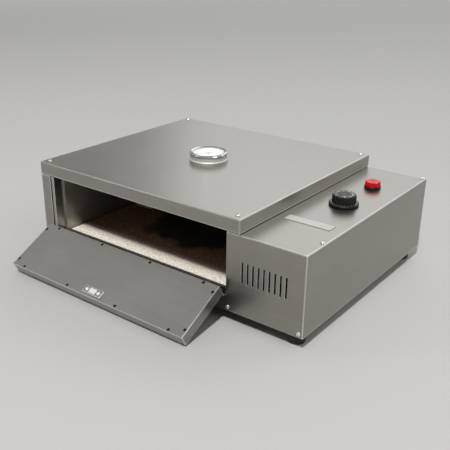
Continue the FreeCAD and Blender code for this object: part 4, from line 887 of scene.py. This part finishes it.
# Cable gland: hexagonal collar, ribbed clamp nut and a seal round the open bore, with its thread inside
# the panel
gland = {
    "bore": 4.0, "seal": 6.0, "length": 14.95, "mouthWidth": 0.5, "mouthDepth": 0.4,
    "thread": 7.95, "threadDepth": 0.6, "threadPitch": 1.0, "shorter": 0.05,
    "collarSides": 6, "ribs": 20, "coreSegments": 40, "smoothBelow": 28,
    "collar": [(6.0, 0), (10.5, 0), (10.9, 0.6), (10.9, 4.4), (10.3, 5.0), (6.0, 5.0), (6.0, 0)],
    "nut": [
        (6.0, 5.0), (9.3, 5.2, 0.6), (9.3, 10.6, 0.6), (8.7, 13.2, 0.6), (7.4, 14.5, 0.6), (6.0, 14.7),
        (6.0, 5.0),
    ],
}


def makeGland():
    low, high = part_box("cable_gland")
    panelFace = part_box("rear_panel")[1].y
    inside = (low.y - panelFace) / mm + gland["shorter"]
    bore, seal, end, pitch = gland["bore"], gland["seal"], gland["length"], gland["threadPitch"]
    core = [(bore, inside)]
    for turn in range(int(-inside / pitch)):
        root = inside + turn * pitch
        core += [(gland["thread"] - gland["threadDepth"], root), (gland["thread"], root + pitch / 2)]
    core += [
        (seal, 0), (seal, end - gland["mouthDepth"]), (seal - gland["mouthWidth"], end), (bore, end),
        (bore, inside),
    ]
    place = Matrix.Translation(((low.x + high.x) / 2, panelFace, (low.z + high.z) / 2)) @ turnTo((0, 1, 0))
    parts = [
        (latheMesh("glandCore", core, gland["coreSegments"]), place),
        (latheMesh("glandCollar", gland["collar"], gland["collarSides"]), place),
        (latheMesh("glandNut", gland["nut"], gland["ribs"] * 2, gland["ribs"]), place),
    ]
    mesh = smoothMesh(joinMeshes("cableGland", parts), gland["smoothBelow"])
    addPiece("cableGland", mesh, nylon, "cabinet", "cable_gland")


makeLens()
makeGland()
print("pilot lens and cable gland: built")

# Printed marks: short bars and numerals laid on a round face, read from the front of the oven
inkHalf = 0.02     # half the thickness of the print, mm


def barMesh(name, length, width):
    x, y = width / 2, length / 2
    return prismMesh(name, [(x, y), (-x, y), (-x, -y), (x, -y)], -inkHalf, inkHalf)


def numeralMesh(name, text, height):
    curve = bpy.data.curves.new(name, "FONT")
    curve.body = text
    curve.size = height * mm
    curve.align_x = "CENTER"
    curve.align_y = "CENTER"
    curve.extrude = inkHalf * mm
    holder = bpy.data.objects.new(name, curve)
    bpy.context.scene.collection.objects.link(holder)
    bpy.context.view_layer.update()
    mesh = bpy.data.meshes.new_from_object(
        holder.evaluated_get(bpy.context.evaluated_depsgraph_get())
    )
    bpy.data.objects.remove(holder)
    return mesh


def onCircle(centre, radius, degrees):
    angle = math.radians(degrees)
    return Matrix.Translation(centre + Vector((math.sin(angle), math.cos(angle), 0)) * radius * mm)


def onRay(centre, radius, degrees):
    return onCircle(centre, radius, degrees) @ Matrix.Rotation(-math.radians(degrees), 4, "Z")


# Dial thermometer: 270 degree scale with a numeral at every second long bar. Bars are length and width
dial = {
    "start": -135, "sweep": 270, "longBars": 10, "shortBars": 50, "top": 500, "rim": 26.6, "lift": 0.03,
    "longBar": (4.2, 0.8), "shortBar": (2.4, 0.4),
    "numeralEvery": 2, "numeralRadius": 18.6, "numeralHeight": 6.0,
}


def makeDialPrint():
    low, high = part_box("thermometer_dial")
    centre = middleOf(low, high, high.z + dial["lift"] * mm)
    bars = {name: barMesh(name, *dial[name]) for name in ("longBar", "shortBar")}
    parts = []
    for number in range(dial["shortBars"] + 1):
        degrees = dial["start"] + dial["sweep"] * number / dial["shortBars"]
        isLong = number % (dial["shortBars"] // dial["longBars"]) == 0
        kind = "longBar" if isLong else "shortBar"
        parts.append((bars[kind], onRay(centre, dial["rim"] - dial[kind][0] / 2, degrees)))
    for number in range(0, dial["longBars"] + 1, dial["numeralEvery"]):
        degrees = dial["start"] + dial["sweep"] * number / dial["longBars"]
        text = str(dial["top"] * number // dial["longBars"])
        numeral = numeralMesh("dialNumeral", text, dial["numeralHeight"])
        parts.append((numeral, onCircle(centre, dial["numeralRadius"], degrees)))
    addPiece("dialPrint", joinMeshes("dialPrint", parts), printInk, "cabinet")


# Knob: a fluted grip with a ring cut in its top, on a skirt that is open below round the shaft. Its rows go
# from the cavity out under the skirt, up the grip, over the top and back down the shaft's hole
grip = {
    "flutes": 30, "segmentsPerFlute": 6, "smoothBelow": 32, "skirtTop": 4.4,
    "profile": [
        (16.5, 0.05), (22.85, 0.05), (23.35, 0.5), (23.35, 2.8), (23.0, 3.7), (22.25, 4.3), (21.75, 4.4),
        (18.85, 4.4), (18.8, 4.6, 0.9), (18.8, 14.8, 0.9), (18.3, 15.9, 0.9), (17.7, 16.6, 0.45),
        (16.9, 17.0), (10.1, 17.0), (9.8, 16.6), (9.4, 16.6), (9.1, 17.0), (0, 17.0), (0, 13.2),
        (3.0, 13.2), (3.0, 5.0), (16.5, 5.0), (16.5, 0.05),
    ],
}


def makeGrip():
    low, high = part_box("knob")
    segments = grip["flutes"] * grip["segmentsPerFlute"]
    mesh = latheMesh("gripKnob", grip["profile"], segments, grip["flutes"])
    smoothMesh(mesh, grip["smoothBelow"])
    mesh.transform(Matrix.Translation(middleOf(low, high, low.z)))
    addPiece("gripKnob", mesh, phenolic, "knob", "knob")


# Its print: bars and numerals round the cap and fine bars on the skirt
knobPrint = {
    "barRadius": 15.7, "bar": (1.8, 0.9), "lift": 0.02,
    "numerals": 9, "numeralStep": 50, "step": 37.5, "numeralRadius": 12.6, "numeralHeight": 4.0,
    "skirtBars": 24, "skirtBar": (1.6, 0.6), "skirtRadius": 20.7,
}


def makeKnobPrint():
    low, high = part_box("knob")
    cap = middleOf(low, high, high.z + knobPrint["lift"] * mm)
    bar, skirtBar = barMesh("knobBar", *knobPrint["bar"]), barMesh("skirtBar", *knobPrint["skirtBar"])
    parts = []
    for number in range(knobPrint["numerals"]):
        degrees = knobPrint["step"] * (number - (knobPrint["numerals"] - 1) / 2)
        parts.append((bar, onRay(cap, knobPrint["barRadius"], degrees)))
        text = str(knobPrint["numeralStep"] * number)
        numeral = numeralMesh("knobNumeral", text, knobPrint["numeralHeight"])
        parts.append((numeral, onRay(cap, knobPrint["numeralRadius"], degrees)))
    skirt = middleOf(low, high, low.z + (grip["skirtTop"] + knobPrint["lift"]) * mm)
    for number in range(knobPrint["skirtBars"]):
        degrees = 360 * number / knobPrint["skirtBars"]
        parts.append((skirtBar, onRay(skirt, knobPrint["skirtRadius"], degrees)))
    addPiece("knobPrint", joinMeshes("knobPrint", parts), palePrint, "knob")


makeDialPrint()
makeGrip()
makeKnobPrint()
print("knob and printed marks: built")

# Pale paper floor that fades into the backdrop, and a soft room that is brighter behind the oven. Lengths
# are in metres, fibre and drop in millimetres
studio = {
    "floor": "#b2b1ad", "fibre": "#b6b5b1", "fibreSize": 4, "floorRough": 0.85, "floorSize": 30,
    "floorDrop": 0.2, "fadeFrom": 1.6, "fadeTo": 6.0,
    "room": "#fbfbf9", "backdrop": 0.44, "frontLight": 0.09, "backLight": 0.42,
    "brightWay": (-0.15, 0.75, 0.6), "dimBelow": -0.3, "brightAbove": 0.8, "aimHeight": 0.1,
}

# Two wide boxes behind for the lid and cover, a weak one on the left, a small one that catches the folds,
# a fill for the right side and a small key that lights the front of the stone
softboxes = {
    "backSoftbox": {"place": (-2.2, 7.5, 4.7), "size": (8.2, 4.8), "watts": 152},
    "sideSoftbox": {"place": (4.2, 6.2, 5.0), "size": (4.6, 4.6), "watts": 135},
    "leftSoftbox": {"place": (-3.4, -0.3, 4.1), "size": (3.2, 3.2), "watts": 8},
    "foldLight": {"place": (-2.5, -2.2, 2.3), "size": (0.9, 0.9), "watts": 13},
    "sideFill": {"place": (4.0, -0.6, 2.8), "size": (2.0, 2.0), "watts": 26},
    "frontKey": {"place": (1.3, -2.6, 4.9), "size": (0.42, 0.42), "watts": 262},
}


# The room is dim as a light, and an even pale backdrop where the eye, the metal or the glass sees it
def seenDirectly(tree):
    rays = addNode(tree, "LightPath", {}, {})
    eyeOrMetal = addNode(
        tree, "Math", {"operation": "MAXIMUM"},
        {0: rays.outputs["Is Camera Ray"], 1: rays.outputs["Is Glossy Ray"]},
    )
    seen = addNode(
        tree, "Math", {"operation": "MAXIMUM"},
        {0: eyeOrMetal.outputs[0], 1: rays.outputs["Is Transmission Ray"]},
    )
    return seen.outputs[0]


def makeFloor():
    bm = bmesh.new()
    bmesh.ops.create_grid(bm, x_segments=1, y_segments=1, size=studio["floorSize"] / 2)
    mesh = bpy.data.meshes.new("studioFloor")
    bm.to_mesh(mesh)
    bm.free()
    floor = bpy.data.objects.new("studioFloor", mesh)
    floor.location.z = -studio["floorDrop"] * mm
    bpy.context.scene.collection.objects.link(floor)
    paper, tree, shader = newMaterial("studioPaper")
    place = addNode(tree, "TexCoord", {}, {})
    fibre = addNode(
        tree, "TexNoise", {},
        {"Vector": place.outputs["Object"], "Scale": perMetre(studio["fibreSize"]), "Detail": 3.0},
    )
    tone = addNode(
        tree, "Mix", {"data_type": "RGBA"},
        {"Factor": fibre.outputs["Fac"], 6: hexToLinear(studio["floor"]), 7: hexToLinear(studio["fibre"])},
    )
    tree.links.new(tone.outputs[2], shader.inputs["Base Color"])
    shader.inputs["Roughness"].default_value = studio["floorRough"]
    away = addNode(tree, "VectorMath", {"operation": "LENGTH"}, {0: place.outputs["Object"]})
    far = addNode(
        tree, "MapRange", {"interpolation_type": "SMOOTHSTEP"},
        {"Value": away.outputs["Value"], "From Min": studio["fadeFrom"], "From Max": studio["fadeTo"]},
    )
    fade = addNode(tree, "Math", {"operation": "MULTIPLY"}, {0: far.outputs[0], 1: seenDirectly(tree)})
    backdrop = addNode(
        tree, "Emission", {}, {"Color": hexToLinear(studio["room"]), "Strength": studio["backdrop"]}
    )
    sweep = addNode(
        tree, "MixShader", {}, {"Fac": fade.outputs[0], 1: shader.outputs[0], 2: backdrop.outputs[0]}
    )
    tree.links.new(sweep.outputs[0], tree.nodes["Material Output"].inputs["Surface"])
    floor.data.materials.append(paper)


def makeRoom():
    world = bpy.data.worlds.new("softRoom")
    world.use_nodes = True
    tree = world.node_tree
    place = addNode(tree, "TexCoord", {}, {})
    way = addNode(
        tree, "VectorMath", {"operation": "DOT_PRODUCT"},
        {0: place.outputs["Generated"], 1: studio["brightWay"]},
    )
    light = addNode(
        tree, "MapRange", {"interpolation_type": "SMOOTHSTEP"},
        {
            "Value": way.outputs["Value"], "From Min": studio["dimBelow"], "From Max": studio["brightAbove"],
            "To Min": studio["frontLight"], "To Max": studio["backLight"],
        },
    )
    level = addNode(
        tree, "Mix", {"data_type": "FLOAT"},
        {"Factor": seenDirectly(tree), 2: light.outputs[0], 3: studio["backdrop"]},
    )
    tree.links.new(level.outputs[0], tree.nodes["Background"].inputs["Strength"])
    tree.nodes["Background"].inputs["Color"].default_value = hexToLinear(studio["room"])
    bpy.context.scene.world = world


def makeLights():
    aim = Vector((0, 0, studio["aimHeight"]))
    for name, box in softboxes.items():
        light = bpy.data.lights.new(name, "AREA")
        light.shape = "RECTANGLE"
        light.size, light.size_y = box["size"]
        light.energy = box["watts"]
        lamp = bpy.data.objects.new(name, light)
        lamp.location = box["place"]
        lamp.rotation_euler = (aim - lamp.location).to_track_quat("-Z", "Y").to_euler()
        bpy.context.scene.collection.objects.link(lamp)


# Camera solved from the cabinet's edges in the photograph, in degrees and in millimetres from its left,
# front and bottom
view = {
    "azimuth": 38.198, "elevation": 22.801, "roll": 0.227, "place": (938.0, -714.9, 512.4),
    "focalPixels": 683.79, "centrePixel": (208.97, 223.85), "imagePixels": 450, "sensorWidth": 36,
}


def makeCamera():
    azimuth, elevation, roll = (math.radians(view[key]) for key in ("azimuth", "elevation", "roll"))
    back = Vector((
        math.sin(azimuth) * math.cos(elevation), -math.cos(azimuth) * math.cos(elevation),
        math.sin(elevation),
    ))
    right = (-back).cross(Vector((0, 0, 1))).normalized()
    up = right.cross(-back)
    across = math.cos(roll) * right + math.sin(roll) * up
    rise = math.cos(roll) * up - math.sin(roll) * right
    optics = bpy.data.cameras.new("photoView")
    optics.sensor_width = view["sensorWidth"]
    optics.lens = view["focalPixels"] / view["imagePixels"] * view["sensorWidth"]
    optics.shift_x = 0.5 - view["centrePixel"][0] / view["imagePixels"]
    optics.shift_y = view["centrePixel"][1] / view["imagePixels"] - 0.5
    camera = bpy.data.objects.new("photoView", optics)
    place = Vector((leftSide, frontFace, underside)) + Vector(view["place"]) * mm
    camera.matrix_world = Matrix.Translation(place) @ Matrix((across, rise, back)).transposed().to_4x4()
    bpy.context.scene.collection.objects.link(camera)
    bpy.context.scene.camera = camera


makeFloor()
makeRoom()
makeLights()
makeCamera()
bpy.context.scene.view_settings.view_transform = "Standard"
print("studio and camera: set")
